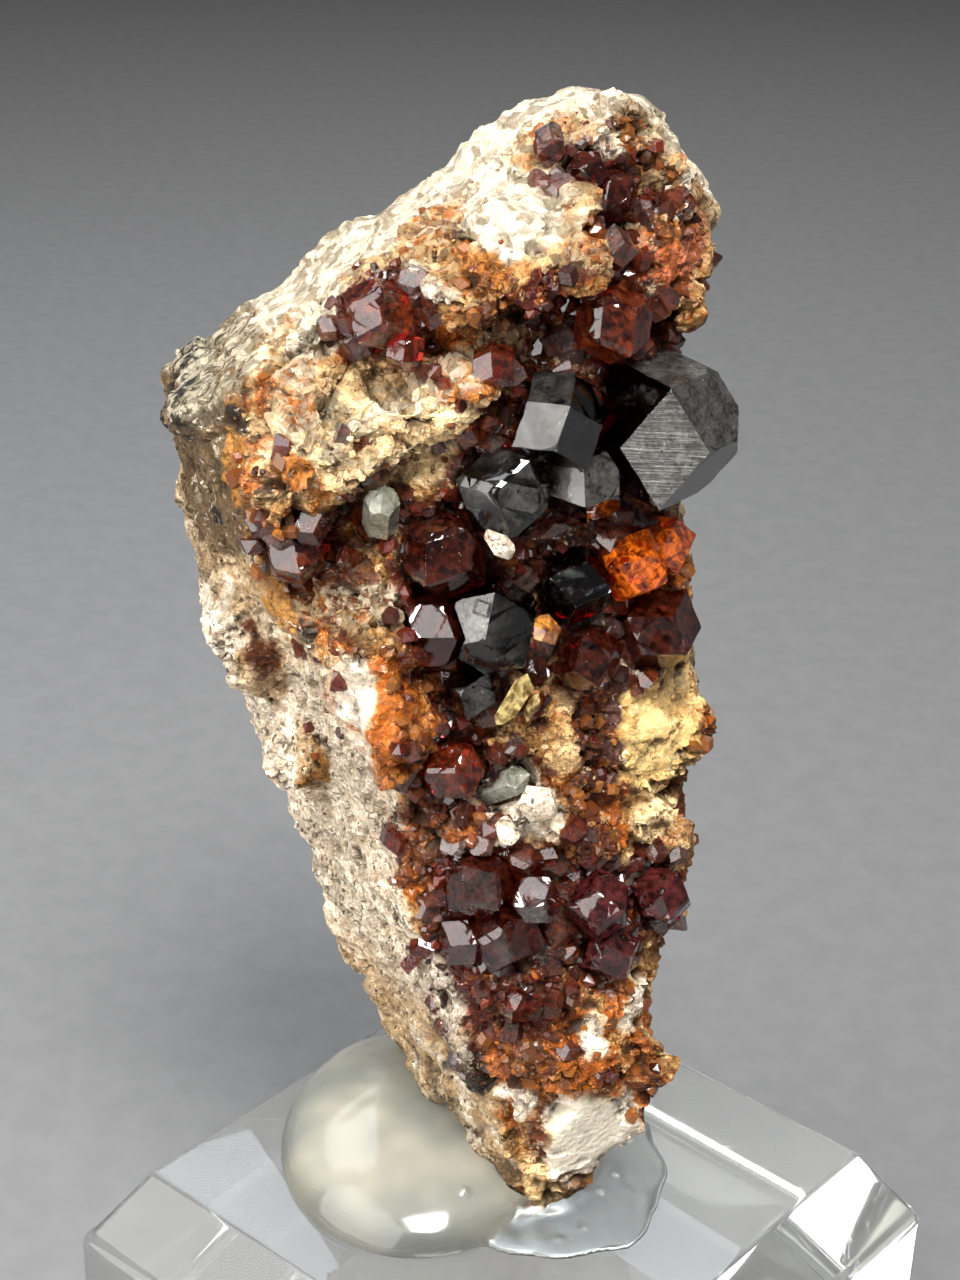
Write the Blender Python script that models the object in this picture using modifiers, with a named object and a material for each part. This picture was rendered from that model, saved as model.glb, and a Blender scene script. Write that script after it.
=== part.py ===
"""A garnet specimen in its rock matrix, set in a drop of clear glue on a bevelled acrylic block.

The stone is modelled in a display frame of its own: X to the right, -Y towards the viewer and Z up
from the top of the block. An empty turns that frame so that the best face looks out over one corner
of the block. In the world the origin is the centre of the block's underside, and X and Y run
parallel to the block's sides.
"""

import math
import random

import bmesh
import bpy
from mathutils import Euler, Vector, noise

MM = 0.001

# The acrylic block
BLOCK_SIDE = 38 * MM
BLOCK_HEIGHT = 19 * MM
BEVEL_IN = 2.8 * MM
BEVEL_DOWN = 4.4 * MM
CORNER_ROUND = 1.2 * MM
CORNER_SEGMENTS = 4

# The display frame on the block
STONE_TURN = math.radians(40.7)

# The clear glue in the display frame, in mm: a domed drop and the thin film beside it, each with its
# centre, its two radii, its height, and its segments round and up
GLUE_DROP = ((-5.6, 1.6), (8.6, 10.6), 4.1, 40, 18)
GLUE_FILM = ((2.4, -0.6), (7.6, 8.4), 0.7, 36, 8)
GLUE_GAP = 0.45 * MM
GLUE_WALL_TOP = 1.1 * MM
DROP_WAVE = 0.03
MOULD_VOXEL = 0.7 * MM
MOULD_FACES = 3000

# What a piece keeps to its neighbour
GAP = 0.3 * MM

# The stone's outline seen from above at some heights over the block, in mm, anticlockwise from the
# edge between its left side and its front
STONE_SECTIONS = (
    (
        -0.4,
        ((0.4, -5.0), (1.8, -5.2), (3.6, -3.8), (4.8, -0.5),
         (5.0, 4.0), (0.0, 7.0), (-5.6, 6.6), (-3.6, 1.0)),
    ),
    (
        4.0,
        ((0.6, -5.3), (3.0, -6.0), (5.4, -4.8), (6.6, -2.0),
         (6.6, 5.0), (0.5, 9.0), (-7.9, 7.8), (-4.8, 0.8)),
    ),
    (
        8.0,
        ((-1.0, -5.8), (3.0, -6.8), (6.9, -5.6), (8.2, -2.5),
         (7.8, 5.0), (0.0, 9.6), (-9.6, 8.0), (-5.8, 0.8)),
    ),
    (
        12.5,
        ((-2.4, -6.4), (2.0, -7.2), (6.2, -6.0), (8.0, -1.5),
         (7.8, 5.0), (-0.5, 10.0), (-11.6, 8.0), (-7.0, 0.8)),
    ),
    (
        17.5,
        ((-3.7, -6.4), (1.5, -7.2), (6.0, -5.5), (8.2, -0.5),
         (8.2, 5.5), (-1.0, 10.2), (-13.3, 8.2), (-8.5, 1.0)),
    ),
    (
        23.7,
        ((-6.6, -6.2), (0.0, -6.8), (5.5, -5.0), (8.9, 0.5),
         (8.7, 6.0), (-2.0, 10.4), (-15.6, 8.4), (-11.0, 1.4)),
    ),
    (
        30.0,
        ((-6.4, -6.6), (0.5, -5.8), (6.0, -4.0), (9.4, 1.5),
         (9.1, 7.0), (-2.5, 10.6), (-18.0, 8.5), (-12.2, 1.2)),
    ),
    (
        34.0,
        ((-8.4, -6.2), (-0.5, -5.2), (5.5, -3.8), (8.7, 1.0),
         (8.7, 7.0), (-3.0, 10.8), (-19.3, 8.6), (-14.2, 1.0)),
    ),
    (
        39.0,
        ((-11.8, -5.2), (-3.0, -4.2), (4.5, -3.0), (8.8, 0.5),
         (8.8, 7.0), (-4.0, 11.0), (-20.0, 8.6), (-16.2, 1.0)),
    ),
    (
        45.5,
        ((-14.6, -5.2), (-6.0, -5.4), (2.5, -3.2), (7.6, 0.0),
         (8.0, 7.0), (-5.0, 11.0), (-20.6, 8.4), (-17.8, 1.0)),
    ),
    (
        51.0,
        ((-14.4, -4.4), (-6.0, -5.6), (2.0, -4.2), (6.8, 1.0),
         (7.4, 7.2), (-5.0, 10.8), (-20.9, 8.0), (-18.0, 1.4)),
    ),
    (
        56.0,
        ((-13.0, -4.0), (-5.0, -5.2), (2.6, -3.4), (8.2, 2.0),
         (8.2, 8.0), (-3.0, 10.4), (-19.0, 8.0), (-17.0, 2.0)),
    ),
    (
        61.0,
        ((-8.0, -3.4), (-2.5, -3.8), (3.5, -1.6), (7.6, 2.6),
         (7.6, 8.0), (-1.0, 9.4), (-12.0, 8.0), (-10.0, 2.0)),
    ),
    (
        65.2,
        ((-1.8, -1.0), (1.0, -1.2), (4.0, 0.0), (6.2, 3.0),
         (5.8, 6.0), (2.0, 7.4), (-3.0, 7.0), (-3.4, 3.0)),
    ),
)

# Flat breaks across the bare slab, and across the stone once its lumps are on: a point on each and
# the way it faces
SLAB_BREAKS = {
    "sloping top": ((-13.3, 2.0, 53.7), (-0.57, -0.06, 0.82)),
    "left top corner": ((-20.3, 2.0, 50.0), (-0.90, -0.10, 0.42)),
}
LATE_BREAKS = {
    "flat face at the foot": ((4.3, -6.3, 8.0), (0.42, -0.86, -0.28)),
    "slope of the crest": ((-2.0, 6.0, 62.9), (-0.62, -0.05, 0.78)),
    "top of the crest": ((3.0, 3.0, 65.0), (0.10, 0.10, 0.99)),
    "right of the crest": ((6.7, 3.0, 63.0), (0.79, 0.05, 0.61)),
}

# Angular lumps that stand out of the slab: centre and half sizes in mm, and turn about the viewing
# axis in degrees
LUMPS = {
    "upper left knob": ((-17.2, 1.4, 49.4), (3.3, 4.4, 2.8), 38),
    "cream ledge": ((-9.4, -5.2, 49.0), (6.0, 3.3, 2.7), -30),
    "ledge end": ((-4.6, -5.2, 51.4), (3.4, 2.7, 1.9), -34),
    "white block": ((-1.2, -4.0, 58.9), (4.5, 3.4, 2.1), -34),
    "white block end": ((1.7, -4.0, 59.0), (1.9, 2.8, 2.1), 50),
    "crest": ((2.6, 3.2, 62.6), (3.4, 4.0, 2.2), -20),
    "crest front": ((0.6, -0.6, 62.4), (2.2, 2.0, 1.4), -30),
    "upper right lobe": ((6.9, 2.2, 57.4), (2.1, 3.8, 4.4), 12),
    "right edge lobe": ((6.9, 2.6, 54.9), (1.8, 3.0, 2.2), -20),
    "white flake": ((-8.0, -6.4, 37.2), (2.3, 3.0, 3.9), 14),
    "flake end": ((-6.4, -7.2, 33.4), (1.9, 2.5, 2.6), 4),
    "side bulge": ((-13.6, 2.6, 37.0), (2.8, 3.4, 4.2), 10),
    "side shelf": ((-12.6, 1.0, 28.6), (2.0, 3.0, 2.2), -16),
    "right lump": ((7.6, 0.8, 31.0), (2.6, 3.9, 4.2), 0),
    "right waist": ((7.6, 0.0, 21.6), (1.9, 3.2, 3.6), 8),
    "small white flake": ((1.2, -5.6, 29.0), (1.3, 1.3, 1.9), 20),
    "orange foot crust": ((6.6, -3.6, 10.4), (1.9, 2.4, 3.0), 12),
    "foot ridge": ((2.2, -6.4, 13.2), (3.2, 1.6, 1.7), -24),
    "red crust": ((5.2, -2.6, 35.0), (2.3, 1.8, 1.3), -8),
}

# Hollows in the front: centre and half sizes in mm, and turn in degrees
HOLLOWS = {
    "crystal pocket": ((1.2, -8.2, 43.6), (6.0, 5.2, 5.8), -24),
    "pocket cleft": ((2.6, -6.2, 39.6), (2.0, 4.4, 4.6), 4),
    "pocket floor": ((2.4, -8.4, 35.2), (4.2, 3.6, 3.2), -10),
    "left hollow": ((-10.8, -7.4, 42.8), (2.9, 3.9, 2.7), -30),
    "under the ledge": ((-6.9, -8.6, 46.4), (3.9, 4.4, 1.5), -32),
    "upper trough": ((-4.4, -8.0, 54.6), (4.8, 4.1, 1.7), -34),
    "trough end": ((1.2, -6.8, 55.4), (2.4, 3.7, 2.5), -20),
    "crest hollow": ((4.2, -3.4, 60.4), (1.6, 3.4, 2.9), -16),
    "lower hollow": ((-0.6, -9.6, 22.8), (3.4, 3.9, 4.2), -26),
    "crack beside the lump": ((4.6, -5.6, 29.2), (0.9, 2.4, 2.4), 20),
    "right undercut": ((10.2, -2.0, 36.6), (2.0, 3.0, 1.1), -30),
    "waist notch": ((10.4, -1.6, 26.2), (1.8, 3.2, 1.0), -10),
    "side pit": ((-19.4, 0.4, 43.4), (1.3, 1.8, 1.4), 30),
    "side gully": ((-16.6, -1.6, 38.6), (1.4, 1.6, 1.1), -30),
}
CHUNK_CUTS = 11
CHUNK_REACH = (0.80, 1.02)
CHUNK_BLANK = 2.4

SHELL_VOXEL = 0.62 * MM
STONE_FACES = 3250

# Broken facets of the skin: their size and how far they stand apart
FACETS = ((5.4 * MM, 0.85 * MM), (2.5 * MM, 0.55 * MM), (1.3 * MM, 0.22 * MM))
FACET_LEAN = 1.3
LEAN_SCALE = 3.1
LEAN_SHIFTS = (Vector((0, 0, 0)), Vector((9.3, -1.5, 7.9)), Vector((-3.7, 11.2, 2.6)))
RISE_SCALE = 5.7

# Garnets that stand clear of the stone. A group whose crystals grew into each other is one piece.
# Each crystal: centre and radius in mm, turn about X, Y and Z in degrees, and how far its 24 small
# faces are set out from the 12 main ones, as a share of the radius
GARNETS = {
    "garnet_large": (((6.7, -2.7, 49.3), 3.45, (45, 2, -2), 1.14),),
    "garnet_group_centre": (
        ((1.4, -5.7, 50.8), 2.1, (52, -20, 24), 1.10),
        ((-1.2, -5.4, 46.8), 2.2, (30, 18, 15), 1.07),
        ((2.7, -4.4, 47.2), 1.9, (14, 40, 8), 1.2),
    ),
    "garnet_left_upper": (((-4.3, -5.8, 43.4), 1.95, (20, 35, -10), 1.06),),
    "garnet_left_lower": (((-4.9, -6.0, 39.3), 1.8, (-15, 48, 22), 1.2),),
    "garnet_etched": (
        ((-1.8, -5.9, 39.6), 2.2, (28, -14, 34), 1.13),
        ((-2.7, -6.0, 35.8), 1.4, (30, 22, 5), 1.2),
    ),
    "garnet_dark_cleft": (((2.4, -3.4, 40.8), 1.7, (-10, 30, 50), 1.2),),
    "garnet_cleft_foot": (((3.4, -4.4, 37.0), 1.5, (25, -20, 12), 1.2),),
    "garnet_orange": (
        ((5.5, -2.7, 41.7), 1.6, (14, 20, 66), 1.1),
        ((7.4, -0.9, 42.2), 1.35, (44, -12, 20), 1.2),
    ),
    "garnet_right_dark": (((7.1, -2.2, 37.8), 2.0, (12, 32, 40), 1.12),),
    "garnet_behind": (
        ((3.9, -3.6, 55.2), 1.75, (30, -30, 10), 1.1),
        ((6.2, -1.2, 54.2), 1.0, (12, 20, 70), 1.2),
    ),
    "garnet_red_drop": (((-3.7, -6.8, 31.4), 1.55, (22, 18, 40), 1.04),),
    "garnet_right_edge": (((8.1, -3.6, 21.9), 1.5, (10, 25, 15), 1.08),),
    "garnet_purple_lower": (
        ((4.5, -5.8, 22.6), 1.6, (-20, 14, 33), 1.1),
        ((5.2, -6.0, 19.6), 1.3, (40, -24, 12), 1.2),
    ),
    "garnet_foot_cluster": (
        ((-2.2, -6.8, 24.4), 1.6, (15, -35, 24), 1.1),
        ((-0.6, -6.7, 21.2), 1.8, (50, 12, -16), 1.1),
        ((-2.9, -6.8, 20.9), 1.3, (-26, 40, 8), 1.2),
        ((0.8, -6.8, 23.7), 1.3, (34, 8, 52), 1.2),
    ),
    "garnet_top_pair": (
        ((2.4, -1.9, 62.4), 0.95, (30, 10, 25), 1.2),
        ((3.6, -1.5, 61.1), 1.15, (10, 44, -12), 1.1),
    ),
    "garnet_upper_left": (
        ((-7.7, -5.2, 56.0), 1.6, (34, 22, -20), 1.08),
        ((-6.4, -5.4, 54.1), 0.9, (12, 50, 6), 1.2),
    ),
    "garnet_left_hollow": (((-12.0, -4.8, 42.9), 1.45, (12, 36, 18), 1.08),),
}

# Faces beside the crystal faces: the way each looks and how far it lies from the crystal's centre
EXTRA_FACES = {"garnet_large": (((1.0, -0.12, 0.05), 3.85), ((0.62, -0.3, -0.72), 3.7))}

# How uneven a crystal's planes are, and the share at which its small faces are left off
GARNET_BLANK = 4
PLANE_SPREAD = (0.92, 1.04)
KITE_SPREAD = (0.985, 1.03)
NO_KITES = 1.2

# Clear grey-green quartz beside the garnets: centre, radius and length in mm, and turn in degrees
QUARTZ_TIP_SLOPE = 0.85
QUARTZ = {
    "quartz_left": ((-7.5, -6.4, 46.2), 0.95, 3.6, (38, -12, 22)),
    "quartz_centre": ((-0.8, -5.8, 30.2), 0.9, 3.4, (52, 26, 40)),
}

# Small garnets fused to the stone, by the part of its front that they stud: middle, half width and
# half height in mm, and how many
STUDDED = {
    "upper trough": ((-2.4, 56.0), (5.0, 2.4), 6),
    "ledge": ((-9.6, 50.6), (3.4, 2.0), 3),
    "left hollow": ((-10.2, 43.6), (2.6, 2.6), 3),
    "pocket rim": ((2.0, 33.6), (5.6, 2.6), 6),
    "lower slope": ((1.6, 26.6), (5.0, 2.6), 6),
    "foot": ((2.2, 15.4), (4.4, 3.6), 6),
    "top lobe": ((6.0, 58.0), (1.8, 3.4), 3),
}
STUD_RADII = (0.6 * MM, 1.05 * MM)
STUD_SINK = 0.25
STUD_SEED = 12
LOOK_FROM = 60 * MM

# Pits in the slab's left side
PIT_COUNT = 16
PIT_RADII = (0.55, 1.15)
PIT_HEIGHTS = (9, 51)
PIT_DEPTHS = (-3, 7)
PIT_WIDTHS = (0.8, 1.3)
PIT_LENGTHS = (0.8, 1.6)
PIT_TURN = 60
PIT_SEED = 31

# Where the seeds of the lumps, the hollows, the pits and the garnets start
LUMP_SEED = 40
HOLLOW_SEED = 80
PIT_CHUNK_SEED = 500
GARNET_SEED = 100

ACRYLIC_COLOUR = (0.90, 0.93, 0.90, 1)
GLUE_COLOUR = (0.88, 0.90, 0.84, 1)
STONE_COLOUR = (0.62, 0.53, 0.40, 1)
GARNET_COLOUR = (0.13, 0.022, 0.014, 1)
QUARTZ_COLOUR = (0.33, 0.35, 0.30, 1)


def in_mm(point):
    return Vector(point) * MM


def collection(name):
    made = bpy.data.collections.new(name)
    bpy.context.scene.collection.children.link(made)
    return made


def material(name, colour, roughness, transmission=0.0):
    made = bpy.data.materials.new(name)
    made.use_nodes = True
    made.diffuse_color = colour
    surface = made.node_tree.nodes["Principled BSDF"]
    surface.inputs["Base Color"].default_value = colour
    surface.inputs["Roughness"].default_value = roughness
    surface.inputs["Metallic"].default_value = 0.0
    surface.inputs["Transmission Weight"].default_value = transmission
    return made


def new_object(name, shape, where, look=None):
    """An object from a bmesh, in one collection, with its material."""
    mesh = bpy.data.meshes.new(name)
    shape.to_mesh(mesh)
    shape.free()
    made = bpy.data.objects.new(name, mesh)
    where.objects.link(made)
    if look:
        mesh.materials.append(look)
    return made


def apply_modifiers(item):
    """Replaces the object's mesh by the one that its modifiers make."""
    graph = bpy.context.evaluated_depsgraph_get()
    mesh = bpy.data.meshes.new_from_object(item.evaluated_get(graph))
    item.modifiers.clear()
    item.data = mesh
    return item


def remesh(item, voxel):
    modifier = item.modifiers.new("even skin", "REMESH")
    modifier.mode = "VOXEL"
    modifier.voxel_size = voxel
    return apply_modifiers(item)


def decimate(item, faces):
    modifier = item.modifiers.new("fewer faces", "DECIMATE")
    modifier.ratio = min(1.0, faces / max(1, len(item.data.polygons) * 2))
    return apply_modifiers(item)


def combine(item, other, operation, crossing=False):
    """Joins another object to this one, or cuts it away."""
    modifier = item.modifiers.new(operation.lower(), "BOOLEAN")
    modifier.operation = operation
    modifier.object = other
    modifier.use_self = crossing
    return apply_modifiers(item)


def keep_largest(item):
    """Drops the crumbs that a cut leaves beside the main body."""
    shape = bmesh.new()
    shape.from_mesh(item.data)
    bmesh.ops.remove_doubles(shape, verts=shape.verts, dist=0.002 * MM)
    unseen = set(shape.verts)
    islands = []
    while unseen:
        edge = [unseen.pop()]
        island = set(edge)
        while edge:
            vertex = edge.pop()
            for link in vertex.link_edges:
                near = link.other_vert(vertex)
                if near in unseen:
                    unseen.remove(near)
                    island.add(near)
                    edge.append(near)
        islands.append(island)
    islands.sort(key=len)
    for island in islands[:-1]:
        bmesh.ops.delete(shape, geom=list(island), context="VERTS")
    bmesh.ops.triangulate(shape, faces=shape.faces)
    shape.to_mesh(item.data)
    shape.free()
    return item


def slice_off(shape, point, normal):
    """Cuts away all that lies beyond a plane and closes the cut."""
    every = list(shape.verts) + list(shape.edges) + list(shape.faces)
    cut = bmesh.ops.bisect_plane(shape, geom=every, plane_co=point, plane_no=normal, clear_outer=True)
    rim = [part for part in cut["geom_cut"] if isinstance(part, bmesh.types.BMEdge)]
    if rim:
        bmesh.ops.holes_fill(shape, edges=rim)


def crystal_faces():
    """The ways that a garnet's 12 rhombic faces and 24 kite-shaped faces look."""
    rhombs = []
    kites = []
    for odd in range(3):
        others = [axis for axis in range(3) if axis != odd]
        for first in (-1, 1):
            for second in (-1, 1):
                rhomb = Vector((0, 0, 0))
                rhomb[others[0]] = first
                rhomb[others[1]] = second
                rhombs.append(rhomb.normalized())
                for third in (-2, 2):
                    kite = Vector(rhomb)
                    kite[odd] = third
                    kites.append(kite.normalized())
    return rhombs, kites


def add_garnet(shape, centre, radius, turn, kite_share, extra=0.0, seed=0):
    """Adds one garnet crystal to a bmesh: a cube cut by its crystal planes, each a little uneven."""
    chance = random.Random(seed)
    lump = bmesh.new()
    bmesh.ops.create_cube(lump, size=GARNET_BLANK * (radius + extra))
    rhombs, kites = crystal_faces()
    for normal in rhombs:
        slice_off(lump, normal * (radius * chance.uniform(*PLANE_SPREAD) + extra), normal)
    for normal in kites:
        reach = radius * kite_share * chance.uniform(*KITE_SPREAD)
        if kite_share < NO_KITES:
            slice_off(lump, normal * (reach + extra), normal)
    turned = Euler([math.radians(angle) for angle in turn]).to_matrix().to_4x4()
    turned.translation = centre
    bmesh.ops.transform(lump, matrix=turned, verts=lump.verts)
    add_to(shape, lump)
    return shape


def add_to(shape, other):
    """Copies one bmesh into another and frees it."""
    mesh = bpy.data.meshes.new("passing")
    other.to_mesh(mesh)
    other.free()
    shape.from_mesh(mesh)
    bpy.data.meshes.remove(mesh)


def add_quartz(shape, centre, radius, length, turn, extra=0.0):
    """Adds a six-sided quartz prism with a six-faced point to a bmesh."""
    prism = bmesh.new()
    bmesh.ops.create_cone(
        prism,
        cap_ends=True,
        segments=6,
        radius1=radius + extra,
        radius2=radius + extra,
        depth=length + 2 * extra,
    )
    for step in range(6):
        angle = math.radians(60 * step + 30)
        slope = Vector((math.cos(angle), math.sin(angle), QUARTZ_TIP_SLOPE)).normalized()
        tip = Vector((0, 0, length / 2 + 2 * extra))
        slice_off(prism, tip, slope)
    turned = Euler([math.radians(value) for value in turn]).to_matrix().to_4x4()
    turned.translation = centre
    bmesh.ops.transform(prism, matrix=turned, verts=prism.verts)
    add_to(shape, prism)


def group_shape(name, extra, seed):
    """One closed shape from the crystals of a group. With extra it is the socket of that group."""
    item = None
    for number, (centre, radius, turn, share) in enumerate(GARNETS[name]):
        place = in_mm(centre)
        kites = NO_KITES if extra else share
        shape = add_garnet(bmesh.new(), place, radius * MM, turn, kites, extra, seed + number)
        for normal, reach in EXTRA_FACES.get(name, ()):
            look = Vector(normal).normalized()
            slice_off(shape, place + look * (reach * MM + extra), look)
        grown = new_object("grown", shape, bpy.context.scene.collection)
        if item is None:
            item = grown
        else:
            combine(item, grown, "UNION")
            bpy.data.objects.remove(grown)
    return item


def loft(sections):
    """A closed skin over the stone's sections."""
    shape = bmesh.new()
    rings = []
    for height, corners in sections:
        rings.append([shape.verts.new(in_mm((x, y, height))) for x, y in corners])
    for low, high in zip(rings, rings[1:]):
        for step in range(len(low)):
            after = (step + 1) % len(low)
            shape.faces.new((low[step], low[after], high[after], high[step]))
    shape.faces.new(tuple(reversed(rings[0])))
    shape.faces.new(rings[-1])
    bmesh.ops.recalc_face_normals(shape, faces=shape.faces)
    return shape


def add_chunk(shape, centre, half, turn, seed):
    """Adds an angular lump to a bmesh: a cube cut by planes that look every way, then stretched."""
    chance = random.Random(seed)
    lump = bmesh.new()
    bmesh.ops.create_cube(lump, size=CHUNK_BLANK)
    for _ in range(CHUNK_CUTS):
        normal = Vector([chance.gauss(0, 1) for _ in range(3)]).normalized()
        slice_off(lump, normal * chance.uniform(*CHUNK_REACH), normal)
    for vertex in lump.verts:
        vertex.co = Vector((vertex.co.x * half[0], vertex.co.y * half[1], vertex.co.z * half[2])) * MM
    turned = Euler((0, math.radians(turn), 0)).to_matrix().to_4x4()
    turned.translation = in_mm(centre)
    bmesh.ops.transform(lump, matrix=turned, verts=lump.verts)
    add_to(shape, lump)


def broken_height(point, size, step):
    """How far a surface broken along flat facets of one size stands out at a point."""
    _, centres = noise.voronoi(point / size)
    own = centres[0]
    lean = Vector([noise.noise(own * LEAN_SCALE + shift) for shift in LEAN_SHIFTS])
    rise = noise.noise(own * RISE_SCALE)
    return step * (rise + FACET_LEAN * (point / size - own).dot(lean))


def break_skin(item):
    """Moves the stone's skin into flat broken facets of several sizes."""
    mesh = item.data
    moves = []
    for vertex in mesh.vertices:
        move = sum(broken_height(vertex.co, size, step) for size, step in FACETS)
        moves.append(vertex.normal * move)
    for vertex, move in zip(mesh.vertices, moves):
        vertex.co += move
    mesh.update()


def add_side_pits(shape, stone):
    """Adds small angular cutters along the slab's left side, where a look from that side meets it."""
    chance = random.Random(PIT_SEED)
    for number in range(PIT_COUNT):
        start = Vector((-LOOK_FROM, chance.uniform(*PIT_DEPTHS) * MM, chance.uniform(*PIT_HEIGHTS) * MM))
        hit, place, _, _ = stone.ray_cast(start, Vector((1, 0, 0)))
        size = chance.uniform(*PIT_RADII)
        half = (size, size * chance.uniform(*PIT_WIDTHS), size * chance.uniform(*PIT_LENGTHS))
        turn = chance.uniform(-PIT_TURN, PIT_TURN)
        if hit:
            add_chunk(shape, place / MM, half, turn, PIT_CHUNK_SEED + number)


def break_flat(item, breaks):
    """Breaks a closed piece off along flat planes."""
    shape = bmesh.new()
    shape.from_mesh(item.data)
    for point, normal in breaks.values():
        slice_off(shape, in_mm(point), Vector(normal).normalized())
    shape.to_mesh(item.data)
    shape.free()


def stone_core():
    """The bare stone: its slab, broken flat, with lumps fused on and hollows cut in."""
    shape = loft(STONE_SECTIONS)
    for point, normal in SLAB_BREAKS.values():
        slice_off(shape, in_mm(point), Vector(normal).normalized())
    for number, (centre, half, turn) in enumerate(LUMPS.values()):
        add_chunk(shape, centre, half, turn, LUMP_SEED + number)
    item = new_object("stone core", shape, bpy.context.scene.collection)
    remesh(item, SHELL_VOXEL)
    holes = bmesh.new()
    for number, (centre, half, turn) in enumerate(HOLLOWS.values()):
        add_chunk(holes, centre, half, turn, HOLLOW_SEED + number)
    add_side_pits(holes, item)
    cutter = new_object("hollows", holes, bpy.context.scene.collection)
    remesh(cutter, SHELL_VOXEL)
    combine(item, cutter, "DIFFERENCE")
    bpy.data.objects.remove(cutter)
    remesh(item, SHELL_VOXEL)
    break_skin(item)
    break_flat(item, LATE_BREAKS)
    remesh(item, SHELL_VOXEL)
    decimate(item, STONE_FACES)
    ground = bmesh.new()
    bmesh.ops.create_cube(ground, size=BLOCK_SIDE)
    bmesh.ops.translate(ground, vec=Vector((0, 0, GAP - BLOCK_SIDE / 2)), verts=ground.verts)
    cutter = new_object("ground", ground, bpy.context.scene.collection)
    combine(item, cutter, "DIFFERENCE")
    bpy.data.objects.remove(cutter)
    return item


def front_point(stone, x, z):
    """Where a straight look from the front meets the stone, and the way its skin faces there."""
    start = Vector((x, -LOOK_FROM, z))
    hit, place, normal, _ = stone.ray_cast(start, Vector((0, 1, 0)))
    return (place, normal) if hit else (None, None)


def stud_with_garnets(stone):
    """Fuses small garnets to the parts of the stone that they stud."""
    chance = random.Random(STUD_SEED)
    studs = bmesh.new()
    for middle, half, count in STUDDED.values():
        for number in range(count):
            x = (middle[0] + half[0] * chance.uniform(-1, 1)) * MM
            z = (middle[1] + half[1] * chance.uniform(-1, 1)) * MM
            place, normal = front_point(stone, x, z)
            radius = chance.uniform(*STUD_RADII)
            turn = [chance.uniform(0, 90) for _ in range(3)]
            if place:
                centre = place - normal * radius * STUD_SINK
                add_garnet(studs, centre, radius, turn, NO_KITES, seed=number)
    other = new_object("studs", studs, bpy.context.scene.collection)
    combine(stone, other, "UNION", crossing=True)
    bpy.data.objects.remove(other)


def place_in_frame(item, stand, where, look, name):
    """Names a finished piece, gives it its material and hangs it on the display frame."""
    item.name = name
    item.data.name = name
    item.data.materials.clear()
    item.data.materials.append(look)
    for holder in list(item.users_collection):
        holder.objects.unlink(item)
    where.objects.link(item)
    item.parent = stand
    return item


def store_helper(cutter, helpers):
    """Puts a cutter away among the helpers, unseen."""
    cutter.hide_render = True
    cutter.display_type = "WIRE"
    bpy.context.scene.collection.objects.unlink(cutter)
    helpers.objects.link(cutter)


def boxes_cross(one, other):
    """True where the bounding boxes of two pieces in one frame cross."""
    spans = []
    for item in (one, other):
        corners = [Vector(corner) for corner in item.bound_box]
        spans.append([(min(c[k] for c in corners), max(c[k] for c in corners)) for k in range(3)])
    return all(a[0] < b[1] and b[0] < a[1] for a, b in zip(*spans))


def quartz_shape(name, extra):
    centre, radius, length, turn = QUARTZ[name]
    shape = bmesh.new()
    add_quartz(shape, in_mm(centre), radius * MM, length * MM, turn, extra)
    return new_object("grown", shape, bpy.context.scene.collection)


def stone_and_crystals(stand, parts, helpers, looks):
    """The stone with a socket for each crystal that is a piece of its own, and those crystals."""
    stone = stone_core()
    stud_with_garnets(stone)
    sockets = []
    for number, name in enumerate(list(GARNETS) + list(QUARTZ)):
        if name in GARNETS:
            seed = GARNET_SEED + 10 * number
            item = group_shape(name, 0.0, seed)
            socket = group_shape(name, GAP, seed)
            look = looks["garnet"]
        else:
            item = quartz_shape(name, 0.0)
            socket = quartz_shape(name, GAP)
            look = looks["quartz"]
        for earlier in sockets:
            if boxes_cross(item, earlier):
                combine(item, earlier, "DIFFERENCE")
        keep_largest(item)
        place_in_frame(item, stand, parts, look, name)
        socket.name = name + " socket"
        combine(stone, socket, "DIFFERENCE")
        sockets.append(socket)
    for socket in sockets:
        store_helper(socket, helpers)
    keep_largest(stone)
    return place_in_frame(stone, stand, parts, looks["stone"], "matrix_stone")


def add_drop(shape, centre, radii, height, segments, rings):
    """Adds the upper half of a flattened ball with a slightly wavy outline to a bmesh."""
    drop = bmesh.new()
    bmesh.ops.create_uvsphere(drop, u_segments=segments, v_segments=rings, radius=1)
    slice_off(drop, Vector((0, 0, 0)), Vector((0, 0, -1)))
    for vertex in drop.verts:
        angle = math.atan2(vertex.co.y, vertex.co.x)
        wave = 1 + DROP_WAVE * math.sin(3 * angle + centre[0]) + DROP_WAVE / 2 * math.sin(5 * angle)
        x = centre[0] * MM + vertex.co.x * radii[0] * wave * MM
        y = centre[1] * MM + vertex.co.y * radii[1] * wave * MM
        vertex.co = Vector((x, y, vertex.co.z * height * MM + GAP))
    add_to(shape, drop)


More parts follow.
